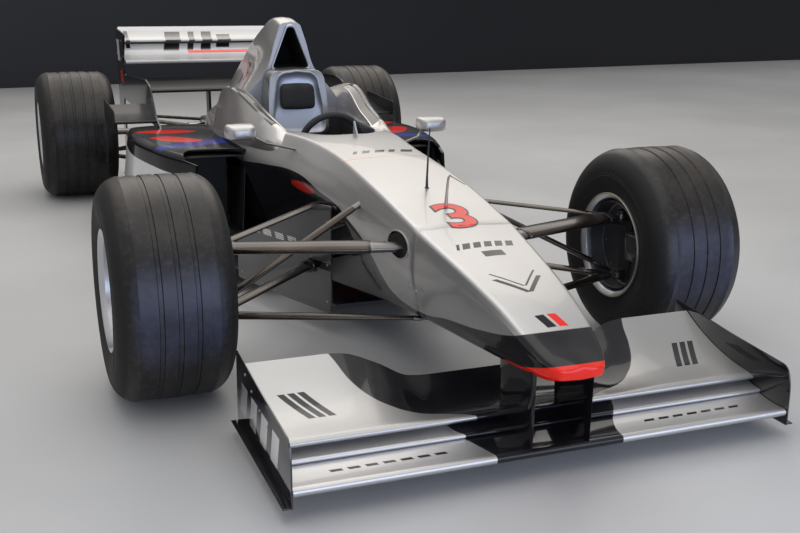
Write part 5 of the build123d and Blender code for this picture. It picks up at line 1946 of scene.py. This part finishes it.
def blade_ring(x: float, lead: Pair, trail: Pair, camber: float,
               thickness: float, count: int = 16) -> list[Vector]:
    """Closed section of a thin wing at a half-span, hollow side up.

    Args:
        x: The half-span.
        lead: Station and height of the leading edge.
        trail: Station and height of the trailing edge.
        camber: Depth of the hollow.
        thickness: Thickness at the leading edge.
        count: Points along each face.

    Returns:
        The section's points.
    """
    start, end = Vector(lead), Vector(trail)
    chord = end - start
    normal = Vector((-chord.y, chord.x)).normalized()
    run = chord.normalized()

    def spine(t: float) -> Vector:
        """Point of the middle line, at a share of the chord."""
        return start + chord * t - normal * camber * 4 * t * (1 - t)

    def half(t: float) -> float:
        """Half the thickness at a share of the chord."""
        return thickness / 2 * (1 - t) ** 0.8 + 0.0008

    upper = [spine(t) + normal * half(t) for t in (i / count for i in range(1, count + 1))]
    lower = [spine(t) - normal * half(t) for t in (i / count for i in range(count, 0, -1))]
    nose = []
    for i in range(1, 8):
        a = math.pi * i / 8
        nose.append(start - run * half(0) * math.sin(a) - normal * half(0) * math.cos(a))
    return [at(x, p.x, p.y) for p in upper + lower + nose]


@dataclass
class FrontWing:
    """Front wing: two-part main plane, S-shaped flap, end plates with their feet, and the pillars."""

    half: float = 0.700
    span: float = 0.694
    plate: float = 0.004
    pillar: float = 0.081
    flap_sections: Table = (
        (0.0, -0.490, 0.148), (0.200, -0.490, 0.148), (0.250, -0.486, 0.151), (0.330, -0.456, 0.186),
        (0.420, -0.432, 0.216), (0.470, -0.430, 0.220), (0.700, -0.430, 0.220),
    )
    plate_corners: tuple[Pair, ...] = (
        (-0.906, 0.036), (-0.904, 0.158), (-0.886, 0.203), (-0.650, 0.217), (-0.370, 0.240), (-0.370, 0.036),
    )
    plate_screws: tuple[Pair, ...] = (
        (-0.70, 0.155), (-0.62, 0.165), (-0.54, 0.185), (-0.47, 0.205), (-0.86, 0.085), (-0.80, 0.095),
    )

    def flap(self) -> None:
        """Builds the flap with its S-shaped trailing edge."""
        rows = []
        for x in [*spread(-self.span, -0.47, 8), *spread(-0.46, -0.20, 27), *spread(-0.19, 0.19, 11),
                  *spread(0.20, 0.46, 27), *spread(0.47, self.span, 8)]:
            rows.append(blade_ring(x, (-0.752, 0.124), smooth_row(abs(x), self.flap_sections), 0.022, 0.014))
        piece = Draft().loft(rows).build("front_flap", Palette.flap, sharp=50)
        fit(piece, "chassis", "front_wing_paint", "front_wing_flap")

    def main_plane(self) -> None:
        """Builds the main plane: a front element and the slim one behind its slot."""
        rows = [blade_ring(x, (-0.892, 0.072), (-0.778, 0.090), 0.006, 0.021)
                for x in spread(-self.span, self.span, 15)]
        draft = Draft().loft(rows)
        rows = [blade_ring(x, (-0.788, 0.095), (-0.735, 0.108), 0.003, 0.010)
                for x in spread(-self.span, self.span, 15)]
        draft.loft(rows)
        piece = draft.build("front_main_plane", Palette.main_plane, sharp=50)
        fit(piece, "chassis", "front_wing_paint", "front_wing_main")

    def end_plates(self) -> None:
        """Builds the end plates, their outer feet, gurney strips and screws."""
        outline = rounded(self.plate_corners, [0.004, 0.03, 0.022, 0.04, 0.008, 0.006], 6)
        draft = Draft()
        draft.plate([at(self.half - self.plate, y, z) for y, z in outline], Vector((self.plate, 0, 0)))
        foot = rounded([(-0.903, 0.036), (-0.903, 0.040), (-0.373, 0.040), (-0.373, 0.036)], [0.001] * 4, 3)
        draft.plate([at(self.half - 0.002, y, z) for y, z in foot], Vector((0.022, 0, 0)))
        crease = rounded([(-0.884, 0.170), (-0.884, 0.176), (-0.688, 0.116), (-0.688, 0.108)], [0.002] * 4, 3)
        draft.plate([at(self.half - self.plate - 0.006, y, z) for y, z in crease], Vector((0.0065, 0, 0)))
        draft.mirrored()
        piece = draft.build("front_end_plates", Palette.front_plate, bevel=0.0009, sharp=40)
        fit(piece, "chassis", "carbon", "front_wing_endplates")
        seats = []
        for station, height in self.plate_screws:
            for side in Side:
                seats.append((at(side.value * self.half, station, height), Vector((side.value, 0.001, 0))))
        fasten("end_plate_screws", seats, ("chassis", "castings"), Palette.steel, 0.0045, 0.0015)

    def pillars(self) -> None:
        """Builds the two pillars as slim aerofoils with a bright front edge."""
        rows = []
        for y0, y1, z0, z1 in ((-0.896, -0.712, 0.070, 0.100), (-0.902, -0.700, 0.332, 0.362)):
            ring = [Vector((self.pillar + 0.0052 * math.sqrt(1 - (2 * t - 1) ** 4) + 0.0002,
                            y0 + (y1 - y0) * t, z0 + (z1 - z0) * t)) for t in spread(0, 1, 20)]
            back = [Vector((2 * self.pillar - p.x, p.y, p.z)) for p in reversed(ring)]
            rows.append([at(*p) for p in ring + back])
        draft = Draft().loft(rows)
        draft.mirrored()
        piece = draft.build("wing_pillars", Palette.black, sharp=50)
        fit(piece, "chassis", "carbon", "nose_pillars")

    def build(self) -> None:
        """Builds the whole front wing."""
        self.flap()
        self.main_plane()
        self.end_plates()
        self.pillars()


@dataclass(frozen=True)
class Leg:
    """One arm: its body end, the height of its wheel end, its section, its metal end and its taper."""

    side: float
    station: float
    height: float
    wheel_height: float
    chord: float
    thickness: float
    metal_share: float = 0.09
    body_share: float = 1.0


@dataclass
class FrontSuspension:
    """Front suspension arms with their end fittings, forks, pushrods, collars and bolts."""

    kingpin: float = 0.7165
    fork: float = 0.6865
    upper: float = 0.4255
    lower: float = 0.2195
    legs: tuple[Leg, ...] = (
        Leg(0.130, -0.213, 0.438, 0.4255, 0.088, 0.034, 0.205),
        Leg(0.170, 0.497, 0.438, 0.4255, 0.036, 0.013),
        Leg(0.090, -0.237, 0.220, 0.2195, 0.042, 0.022, 0.06, 0.5),
        Leg(0.150, 0.512, 0.234, 0.2195, 0.044, 0.018),
    )
    pushrod: Leg = Leg(0.130, 0.141, 0.523, 0.2335, 0.036, 0.018, 0.125)
    collar: Table = (
        (0.246, 0.424, 0.2315), (0.248, 0.422, 0.2315), (0.278, 0.390, 0.2305), (0.280, 0.388, 0.2305),
    )
    recess: tuple[Pair, ...] = (
        (1.13, -0.0010), (1.12, 0.0012), (1.06, 0.0026), (1.0, 0.0020), (0.96, 0.0016), (0.75, 0.0016),
        (0.5, 0.0016), (0.25, 0.0016), (0.02, 0.0016),
    )
    recess_half: Pair = (0.068, 0.038)

    def _arm(self, draft: Draft, leg: Leg, end: Vector) -> None:
        """Adds one arm of lens-shaped section, with a metal end at the body and a sleeve at the wheel.

        Args:
            draft: The draft that it is added to.
            leg: The arm's sizes.
            end: Its end at the wheel.
        """
        start = at(leg.side, leg.station, leg.height)
        run = end - start
        across = run.cross(Vector((0, 0, 1))).normalized()
        rise = across.cross(run).normalized()
        first = leg.metal_share
        rows = []
        for t, share in ((first, 0.80), (first + 0.010, 0.96), (first + 0.022, 1.0), (0.5, 1.0), (0.93, 1.0),
                         (0.975, 0.85), (1.0, 0.6)):
            share *= leg.body_share + (1 - leg.body_share) * min(1.0, t * 1.6)
            middle, ring = start + run * t, []
            for a in turn(28):
                c, s = math.cos(a), math.sin(a)
                wide = leg.chord / 2 * share * math.copysign(abs(c) ** 0.9, c)
                tall = leg.thickness / 2 * share * math.copysign(abs(s) ** 0.75, s)
                ring.append(middle + across * wide + rise * (tall * (1.0 - 0.25 * max(c, 0.0))))
            rows.append(ring)
        draft.loft(rows)
        flat, chord = leg.thickness / leg.chord, leg.chord * (0.5 + leg.body_share / 2)
        socket = [start + run * t for t in (-0.02, first * 0.35, first * 0.45, first * 0.94, first + 0.002)]
        draft.tube(socket, [chord * r for r in (0.24, 0.26, 0.37, 0.40, 0.40)], 24, 1, flat * 1.12)
        band = [start + run * (first + 0.002), start + run * (first + 0.006)]
        draft.tube(band, chord * 0.46, 24, 2, flat * 1.06)
        sleeve = [start + run * t for t in (0.885, 0.887, 0.955, 0.957)]
        draft.tube(sleeve, [leg.chord * r for r in (0.50, 0.515, 0.515, 0.50)], 24, 2, flat * 1.02)

    def build(self) -> None:
        """Builds both sides."""
        draft = Draft()
        for leg in self.legs:
            self._arm(draft, leg, at(self.fork, 0, leg.wheel_height))
        self._arm(draft, self.pushrod, at(self.fork + 0.008, 0.010, self.pushrod.wheel_height))
        for joint in (self.upper, self.lower):
            pin = [at(self.fork - 0.018, 0, joint), at(self.kingpin - 0.012, 0, joint)]
            draft.tube(pin, 0.015, 16, 1, 0.5)
            rows = []
            for radius, level in ((0.0095, -0.008), (0.017, -0.008), (0.017, 0.008), (0.0095, 0.008)):
                ring = [Vector((radius * math.cos(a), radius * math.sin(a), level)) for a in turn(24)]
                rows.append([at(self.kingpin, 0, joint) + point for point in ring])
            draft.grid([*rows, rows[0]], ring=True, finish=1)
        collar = [at(*point) for point in self.collar]
        draft.tube(collar, [0.024, 0.030, 0.030, 0.024], 20, 2, 0.72)
        draft.mirrored()
        piece = draft.build("front_arms", Palette.arms, Palette.arm_end, Palette.black, sharp=42)
        fit(piece, "chassis", "arms", "front_wishbones")
        self._recesses()

    def _recesses(self) -> None:
        """Lays the oval mouths with raised lips where the upper arms enter the tub, closed in near-black as
        painted shade, and their bolts.
        """
        tree = skin_tree("tub_skin")
        draft, seats = Draft(), []
        long, tall = self.recess_half
        for sign in (1, -1):
            out = Vector((sign * 0.96, -0.10, 0.26)).normalized()
            along = (Vector((0, 1, 0)) - out * out.y).normalized()
            up = out.cross(along)
            centre = at(sign * 0.164, -0.186, 0.440)
            rows = []
            for share, lift in self.recess:
                row = []
                for a in turn(40):
                    spot = centre + along * long * share * math.cos(a) + up * tall * share * math.sin(a)
                    hit, _, _, _ = tree.ray_cast(spot + out * 0.08, -out)
                    row.append((hit or spot) + out * lift)
                rows.append(row)
            draft.grid(rows[:5], ring=True)
            draft.loft(rows[4:], 1)
            for offset in (-0.088, 0.088):
                hit, _, _, _ = tree.ray_cast(centre + along * offset + up * 0.012 + out * 0.08, -out)
                seats.append((hit, out))
        piece = draft.build("arm_recesses", Palette.body, Palette.void, sharp=40)
        fit(piece, "chassis", "arms")
        fasten("arm_bolts", seats, ("chassis", "castings"), Palette.steel, 0.0042, 0.0022, 6)


@dataclass
class Bargeboards:
    """Carbon boards behind the front wheels, with their stays and screws."""

    start: Pair = (0.215, 0.300)
    run: Pair = (0.36, 0.93)
    out: Vector = field(default_factory=lambda: Vector((0.93, -0.36, 0)) * 0.006)
    corners: tuple[Pair, ...] = (
        (0.0, 0.080), (0.0, 0.229), (0.126, 0.229), (0.126, 0.255), (0.0, 0.255), (0.0, 0.458),
        (0.070, 0.454), (0.215, 0.400), (0.430, 0.307), (0.560, 0.250), (0.560, 0.090), (0.300, 0.080),
    )
    cuts: tuple[float, ...] = (0.015, 0.003, 0.012, 0.012, 0.003, 0.014, 0.03, 0.04, 0.04, 0.01, 0.01, 0.04)
    screws: tuple[Pair, ...] = (
        (0.02, 0.40), (0.02, 0.25), (0.02, 0.12), (0.21, 0.30), (0.40, 0.10), (0.53, 0.12),
    )

    def _spot(self, along: float, height: float) -> Vector:
        """Point of the board's plane."""
        return at(self.start[0] + self.run[0] * along, self.start[1] + self.run[1] * along, height)

    def build(self) -> None:
        """Builds both boards."""
        outline = rounded(self.corners, self.cuts, 6)
        draft = Draft().plate([self._spot(a, z) for a, z in outline], self.out)
        draft.tube([self._spot(0.004, 0.395), at(0.172, 0.318, 0.392)], 0.009, 12, 0, 0.6)
        draft.block(at(0.150, 0.500, 0.300), at(0.288, 0.536, 0.307))
        draft.mirrored()
        piece = draft.build("barge_boards", Palette.board, bevel=0.0016, sharp=40)
        fit(piece, "chassis", "carbon", "bargeboards")
        seats = []
        for along, height in self.screws:
            for side in Side:
                spot = self._spot(along, height) + self.out
                seats.append((Vector((spot.x * side.value, spot.y, spot.z)),
                              Vector((0.93 * side.value, -0.36, 0.001))))
        fasten("board_screws", seats, ("chassis", "castings"), Palette.steel, 0.0045, 0.0016)


@dataclass
class Mirrors:
    """Rear view mirrors: rounded shells, glass in a dark frame, and slim stays."""

    side: float = 0.385
    station: float = 0.872
    height: float = 0.628
    half_width: float = 0.057
    half_height: float = 0.028
    shell: tuple[Pair, ...] = (
        (-0.036, 0.30), (-0.034, 0.55), (-0.027, 0.76), (-0.014, 0.90), (0.004, 0.97), (0.024, 1.0),
        (0.032, 1.0), (0.034, 0.985),
    )
    glass_frame: tuple[Pair, ...] = ((0.0342, 0.97), (0.0350, 0.955), (0.0350, 0.90))

    def _rings(self, plan: Outline, rounding: float, crown: float) -> list[list[Vector]]:
        """Rounded rings of the mirror.

        Args:
            plan: Depth of each ring and its share of the mirror's size.
            rounding: Share of the smaller half that the corners are cut by.
            crown: How far the sides swell.

        Returns:
            The rings' points.
        """
        rows = []
        for y, share in plan:
            w, h = self.half_width * share, self.half_height * share
            cuts = [min(w, h) * rounding] * 4
            points = ring_row([(w, h), (w, -h), (-w, -h), (-w, h)], cuts, [crown] * 4, 6, 4)
            rows.append([at(self.side + x, self.station + y, self.height + z) for x, z in points])
        return rows

    def build(self) -> None:
        """Builds both mirrors."""
        frame_rows = self._rings(self.glass_frame, 0.9, 0.0)
        draft = Draft().loft(self._rings(self.shell, 0.62, 0.001)).loft(frame_rows, 1)
        glass = [[p + Vector((0, 0.0004 + 0.0004 * i, 0)) for p in frame_rows[-1]] for i in range(2)]
        draft.loft(glass, 2)
        stay = [at(self.side - 0.040, self.station, self.height - 0.014), at(0.300, 0.812, 0.592),
                at(0.165, 0.742, 0.566)]
        draft.tube(stay, [0.009, 0.0085, 0.010], 16, 1, 0.45)
        draft.mirrored()
        piece = draft.build("rear_view_mirrors", Palette.body, Palette.black, Palette.glass, sharp=40)
        fit(piece, "chassis", "body_silver", "mirrors")


@dataclass
class Cockpit:
    """Things in and round the cockpit: belts, display and buttons on the steering wheel, and aerials."""

    wheel_centre: tuple[float, float, float] = (0.0, 0.985, 0.548)
    lean: float = 14.0
    belt_path: Table = (
        (0.050, 1.392, 0.520), (0.055, 1.368, 0.470), (0.050, 1.30, 0.370), (0.030, 1.235, 0.245),
        (0.012, 1.195, 0.165),
    )
    belt_half: float = 0.024
    aerial: Table = ((0, 0.001, 0.556), (0, 0.0005, 0.600), (0, -0.006, 0.680), (0, -0.015, 0.757))
    speed_tube: Table = (
        (0, -0.149, 0.530), (0, -0.154, 0.575), (0, -0.160, 0.615), (0, -0.166, 0.630), (0, -0.176, 0.636),
        (0, -0.200, 0.635), (0, -0.282, 0.630),
    )

    def _on_wheel(self, across: float, up: float, out: float) -> Vector:
        """Point of the steering wheel's face: to the left, up along it, and towards the driver.

        Args:
            across: How far to the left.
            up: How far up along the face.
            out: How far towards the driver.

        Returns:
            The point.
        """
        c, s = math.cos(math.radians(self.lean)), math.sin(math.radians(self.lean))
        x, y, z = self.wheel_centre
        return at(x + across, y + out * c - up * s, z + out * s + up * c)

    def belts(self) -> None:
        """Builds the shoulder and lap belts as flat straps that lie on the seat."""
        draft = Draft()
        for sign in (1, -1):
            path = [at(sign * x, station, z) for x, station, z in self.belt_path]
            half = self.belt_half
            edges = [Vector(edge) for edge in ((half, 0, 0), (half, -0.003, 0.002), (-half, -0.003, 0.002),
                                               (-half, 0, 0))]
            draft.loft([[p + edge for edge in edges] for p in path])
        rows = []
        for radius, lift in ((0.030, 0.0), (0.030, 0.008), (0.024, 0.012), (0.008, 0.012)):
            ring = [Vector((radius * math.cos(a), -lift - radius * 0.5 * math.sin(a),
                            lift + radius * 0.86 * math.sin(a))) for a in turn(24)]
            rows.append([at(0, 1.186, 0.172) + point for point in ring])
        draft.loft(rows, 1)
        piece = draft.build("belts", Palette.belt, Palette.steel, sharp=40)
        fit(piece, "chassis", "pad")

    def wheel_details(self) -> None:
        """Builds the steering wheel's display and switches."""
        corners = rounded([(0.034, 0.026), (0.034, 0.006), (-0.034, 0.006), (-0.034, 0.026)], [0.004] * 4, 4)
        rows = [[self._on_wheel(x * s, 0.016 + (z - 0.016) * s, out) for x, z in corners]
                for s, out in ((1.0, 0.013), (1.0, 0.0165), (0.94, 0.0175), (0.90, 0.0168))]
        piece = Draft().loft(rows).build("wheel_display", Palette.screen_dark, sharp=40)
        fit(piece, "handwheel", "wheel_grip")
        out = self._on_wheel(0, 0, 1) - self._on_wheel(0, 0, 0)
        spots = [*((x, z) for x in (-0.048, 0.048) for z in (-0.018, 0.0, 0.018)), (-0.02, -0.016),
                 (0.02, -0.016)]
        seats = [(self._on_wheel(x, z, 0.0115), out) for x, z in spots]
        fasten("wheel_buttons", seats, ("handwheel", "wheel_grip"), Palette.number, 0.0050, 0.006)

    def aerials(self) -> None:
        """Builds the aerial, the air speed tube and their feet on the nose."""
        draft = Draft()
        draft.tube([at(*point) for point in self.aerial], [0.0052, 0.0034, 0.0024, 0.0018], 12)
        draft.tube([at(0, 0.001, 0.556), at(0, 0.001, 0.5655)], [0.011, 0.0075], 16)
        bend = [at(*point) for point in self.speed_tube]
        draft.tube(bend, [0.0062, 0.0045, 0.0036, 0.0034, 0.0032, 0.0030, 0.0022], 12, 1)
        piece = draft.build("nose_aerials", Palette.aerial, Palette.tube, sharp=50)
        fit(piece, "chassis", "aerial_black", "aerials")

    def build(self) -> None:
        """Builds everything in the cockpit."""
        self.belts()
        self.wheel_details()
        self.aerials()


@dataclass
class RearEnd:
    """Small things of the rear: end plate screws, floor edge screws and the rain light's cells."""

    plate_screws: tuple[Pair, ...] = (
        (3.26, 0.72), (3.36, 0.70), (3.36, 0.80), (3.46, 0.79), (3.52, 0.72), (3.42, 0.545),
    )
    floor_screws: int = 13
    screw_inset: float = 0.014
    cell_reach: Pair = (0.020, 0.015)

    def build(self) -> None:
        """Builds the rear details."""
        _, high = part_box("rear_endplates")
        seats = [(at(side.value * high.x, station, height), Vector((side.value, 0.001, 0)))
                 for station, height in self.plate_screws for side in Side]
        fasten("rear_plate_screws", seats, ("chassis", "castings"), Palette.steel, 0.0050, 0.0016)
        _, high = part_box("floor")
        edge = [(at(side.value * (high.x - self.screw_inset), station, high.z), Vector((0.001, 0, 1)))
                for station in spread(1.36, 2.56, self.floor_screws) for side in Side]
        fasten("floor_screws", edge, ("chassis", "castings"), Palette.steel, 0.0045, 0.0014)
        low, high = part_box("rain_light")
        middle = (low + high) / 2
        wide, tall = self.cell_reach
        dots = [(Vector((middle.x + x, high.y, middle.z + z)), Vector((0.001, 1, 0)))
                for x in spread(-wide, wide, 5) for z in spread(-tall, tall, 4)]
        fasten("rain_light_cells", dots, ("chassis", "lamp_red"), Palette.lamp, 0.0042, 0.0020, 8)


NODE_FINISHES: dict[str, str] = {
    "radiators": "radiator", "floor": "carbon", "plank": "plank", "diffuser": "carbon",
    "dash_bulkhead": "carbon", "seat": "carbon", "engine": "castings", "gearbox": "castings",
    "rain_light": "lamp", "exhausts": "pipe", "tailpipes": "pipe", "rear_uprights": "castings",
    "rear_wishbones": "arms", "rear_wing": "rear_wing", "beam_wing": "satin", "rear_endplates": "rear_plate",
    "winglets": "satin", "windscreen": "screen", "front_knuckle_left": "upright",
    "front_knuckle_right": "upright", "steering_rack": "arms", "steering_wheel": "grip",
    "drive_shaft_left": "steel", "drive_shaft_right": "steel",
}


def dress_nodes() -> None:
    """Gives the part's own solids that stay in view their finishes."""
    for name, key in NODE_FINISHES.items():
        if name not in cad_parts:
            continue
        solid = bpy.data.objects[name]
        material = getattr(Palette, key).material()
        for slot in solid.material_slots:
            slot.material = material
        if not solid.material_slots:
            solid.data.materials.append(material)
        LOG.info("%s wears %s", name, material.name)


@dataclass
class Studio:
    """Camera, lamps, world and floor."""

    place: tuple[float, float, float] = (-1.283, -4.331, 1.233)
    azimuth: float = -21.44
    elevation: float = 15.637
    roll: float = 0.75
    lens: float = 48.4
    ground: float = -0.0005

    def camera(self) -> None:
        """Sets the camera at the photograph's place."""
        az, el, roll = (math.radians(a) for a in (self.azimuth, self.elevation, self.roll))
        back = Vector((math.sin(az) * math.cos(el), -math.cos(az) * math.cos(el), math.sin(el)))
        right = (-back).cross(Vector((0, 0, 1))).normalized()
        up = right.cross(-back)
        across = right * math.cos(roll) + up * math.sin(roll)
        rise = -right * math.sin(roll) + up * math.cos(roll)
        data = bpy.data.cameras.new("camera")
        data.sensor_width, data.lens = 36.0, self.lens
        camera = linked("camera", data)
        turned = Matrix((across, rise, back)).transposed().to_4x4()
        camera.matrix_world = Matrix.Translation(self.place) @ turned
        bpy.context.scene.camera = camera

    @staticmethod
    def _lamp(name: str, place: Vector, target: Vector, size: Pair, power: float,
              colour: Colour) -> None:
        """Adds a soft rectangular lamp that points at a target.

        Args:
            name: The lamp's name.
            place: Where it hangs.
            target: Where it points.
            size: Its width and height.
            power: Its power, in watts.
            colour: Its colour.
        """
        data = bpy.data.lights.new(name, "AREA")
        data.shape, data.size, data.size_y = "RECTANGLE", size[0], size[1]
        data.energy, data.color = power, colour
        lamp = linked(name, data)
        lamp.location = place
        lamp.rotation_euler = (target - place).to_track_quat("-Z", "Y").to_euler()

    def light(self) -> None:
        """Sets the world and the lamps."""
        world = bpy.data.worlds.new("studio")
        bpy.context.scene.world = world
        world.use_nodes = True
        t = Tree(world.node_tree)
        way = t.add("ShaderNodeSeparateXYZ", {0: t.add("ShaderNodeTexCoord").outputs["Generated"]}).outputs
        sky = t.mix(t.step(way[2], 0.08, 0.55), (0.15, 0.155, 0.165), (0.62, 0.62, 0.62))
        sky = t.mix(t.times(t.step(way[0], -0.25, -0.85), 0.6), sky, (0.75, 0.73, 0.70))
        background = world.node_tree.nodes["Background"]
        t.put(background.inputs["Color"], sky)
        background.inputs["Strength"].default_value = 0.85
        middle = Vector((0.0, -0.6, 0.4))
        self._lamp("ceiling", Vector((-0.6, -0.6, 4.6)), Vector((-0.6, -0.6, 0.0)), (4.4, 8.0), 105.0,
                   (1.0, 0.985, 0.965))
        self._lamp("warm_back", Vector((1.6, 3.6, 4.0)), middle, (6.0, 4.0), 80.0, (1.0, 0.93, 0.85))
        self._lamp("cool_front", Vector((0.6, -5.4, 1.00)), Vector((0.2, -1.2, 0.30)), (6.0, 1.9), 96.0,
                   (0.62, 0.73, 1.0))

    def floor(self) -> None:
        """Lays a pale, slightly glossy painted floor and sets up a dark wall behind it."""
        corners = [[Vector((x, y, self.ground)) for x in (-14, 14)] for y in (-9, 22)]
        sheet = Draft().grid(corners).build("studio_floor")
        material, t, shader = new_material("painted_floor")
        t.put(shader.inputs["Base Color"], t.mix(t.cloud(0.8, 6.0), (0.49, 0.49, 0.49), (0.56, 0.56, 0.557)))
        t.put(shader.inputs["Roughness"], t.blend(t.noise(3.0, 5.0), 0.40, 0.56))
        sheet.data.materials.append(material)
        corners = [[Vector((-14, 6.0, z)), Vector((14, 8.6, z))] for z in (self.ground, 1.3)]
        wall = Draft().grid(corners).build("studio_backdrop")
        material, t, shader = new_material("dark_backdrop")
        tone = t.mix(t.noise(0.5, 3.0), (0.010, 0.011, 0.016), (0.020, 0.021, 0.027))
        t.put(shader.inputs["Base Color"], tone)
        shader.inputs["Roughness"].default_value = 0.45
        wall.data.materials.append(material)

    def build(self) -> None:
        """Sets up the whole studio."""
        bpy.context.scene.view_settings.view_transform = "Standard"
        self.camera()
        self.light()
        self.floor()


def main() -> None:
    """Builds every sub-assembly in order, then the studio."""
    logging.basicConfig(level=logging.INFO, format="%(name)s: %(message)s")
    for side in Side:
        Wheel(Axle.FRONT, side, grooves=3).build()
        Wheel(Axle.REAR, side, grooves=4).build()
        BrakeDuct(side).build()
    Body().build()
    Sidepods().build()
    FrontWing().build()
    FrontSuspension().build()
    Bargeboards().build()
    Mirrors().build()
    Cockpit().build()
    RearEnd().build()
    dress_nodes()
    Studio().build()


if __name__ == "__main__":
    main()
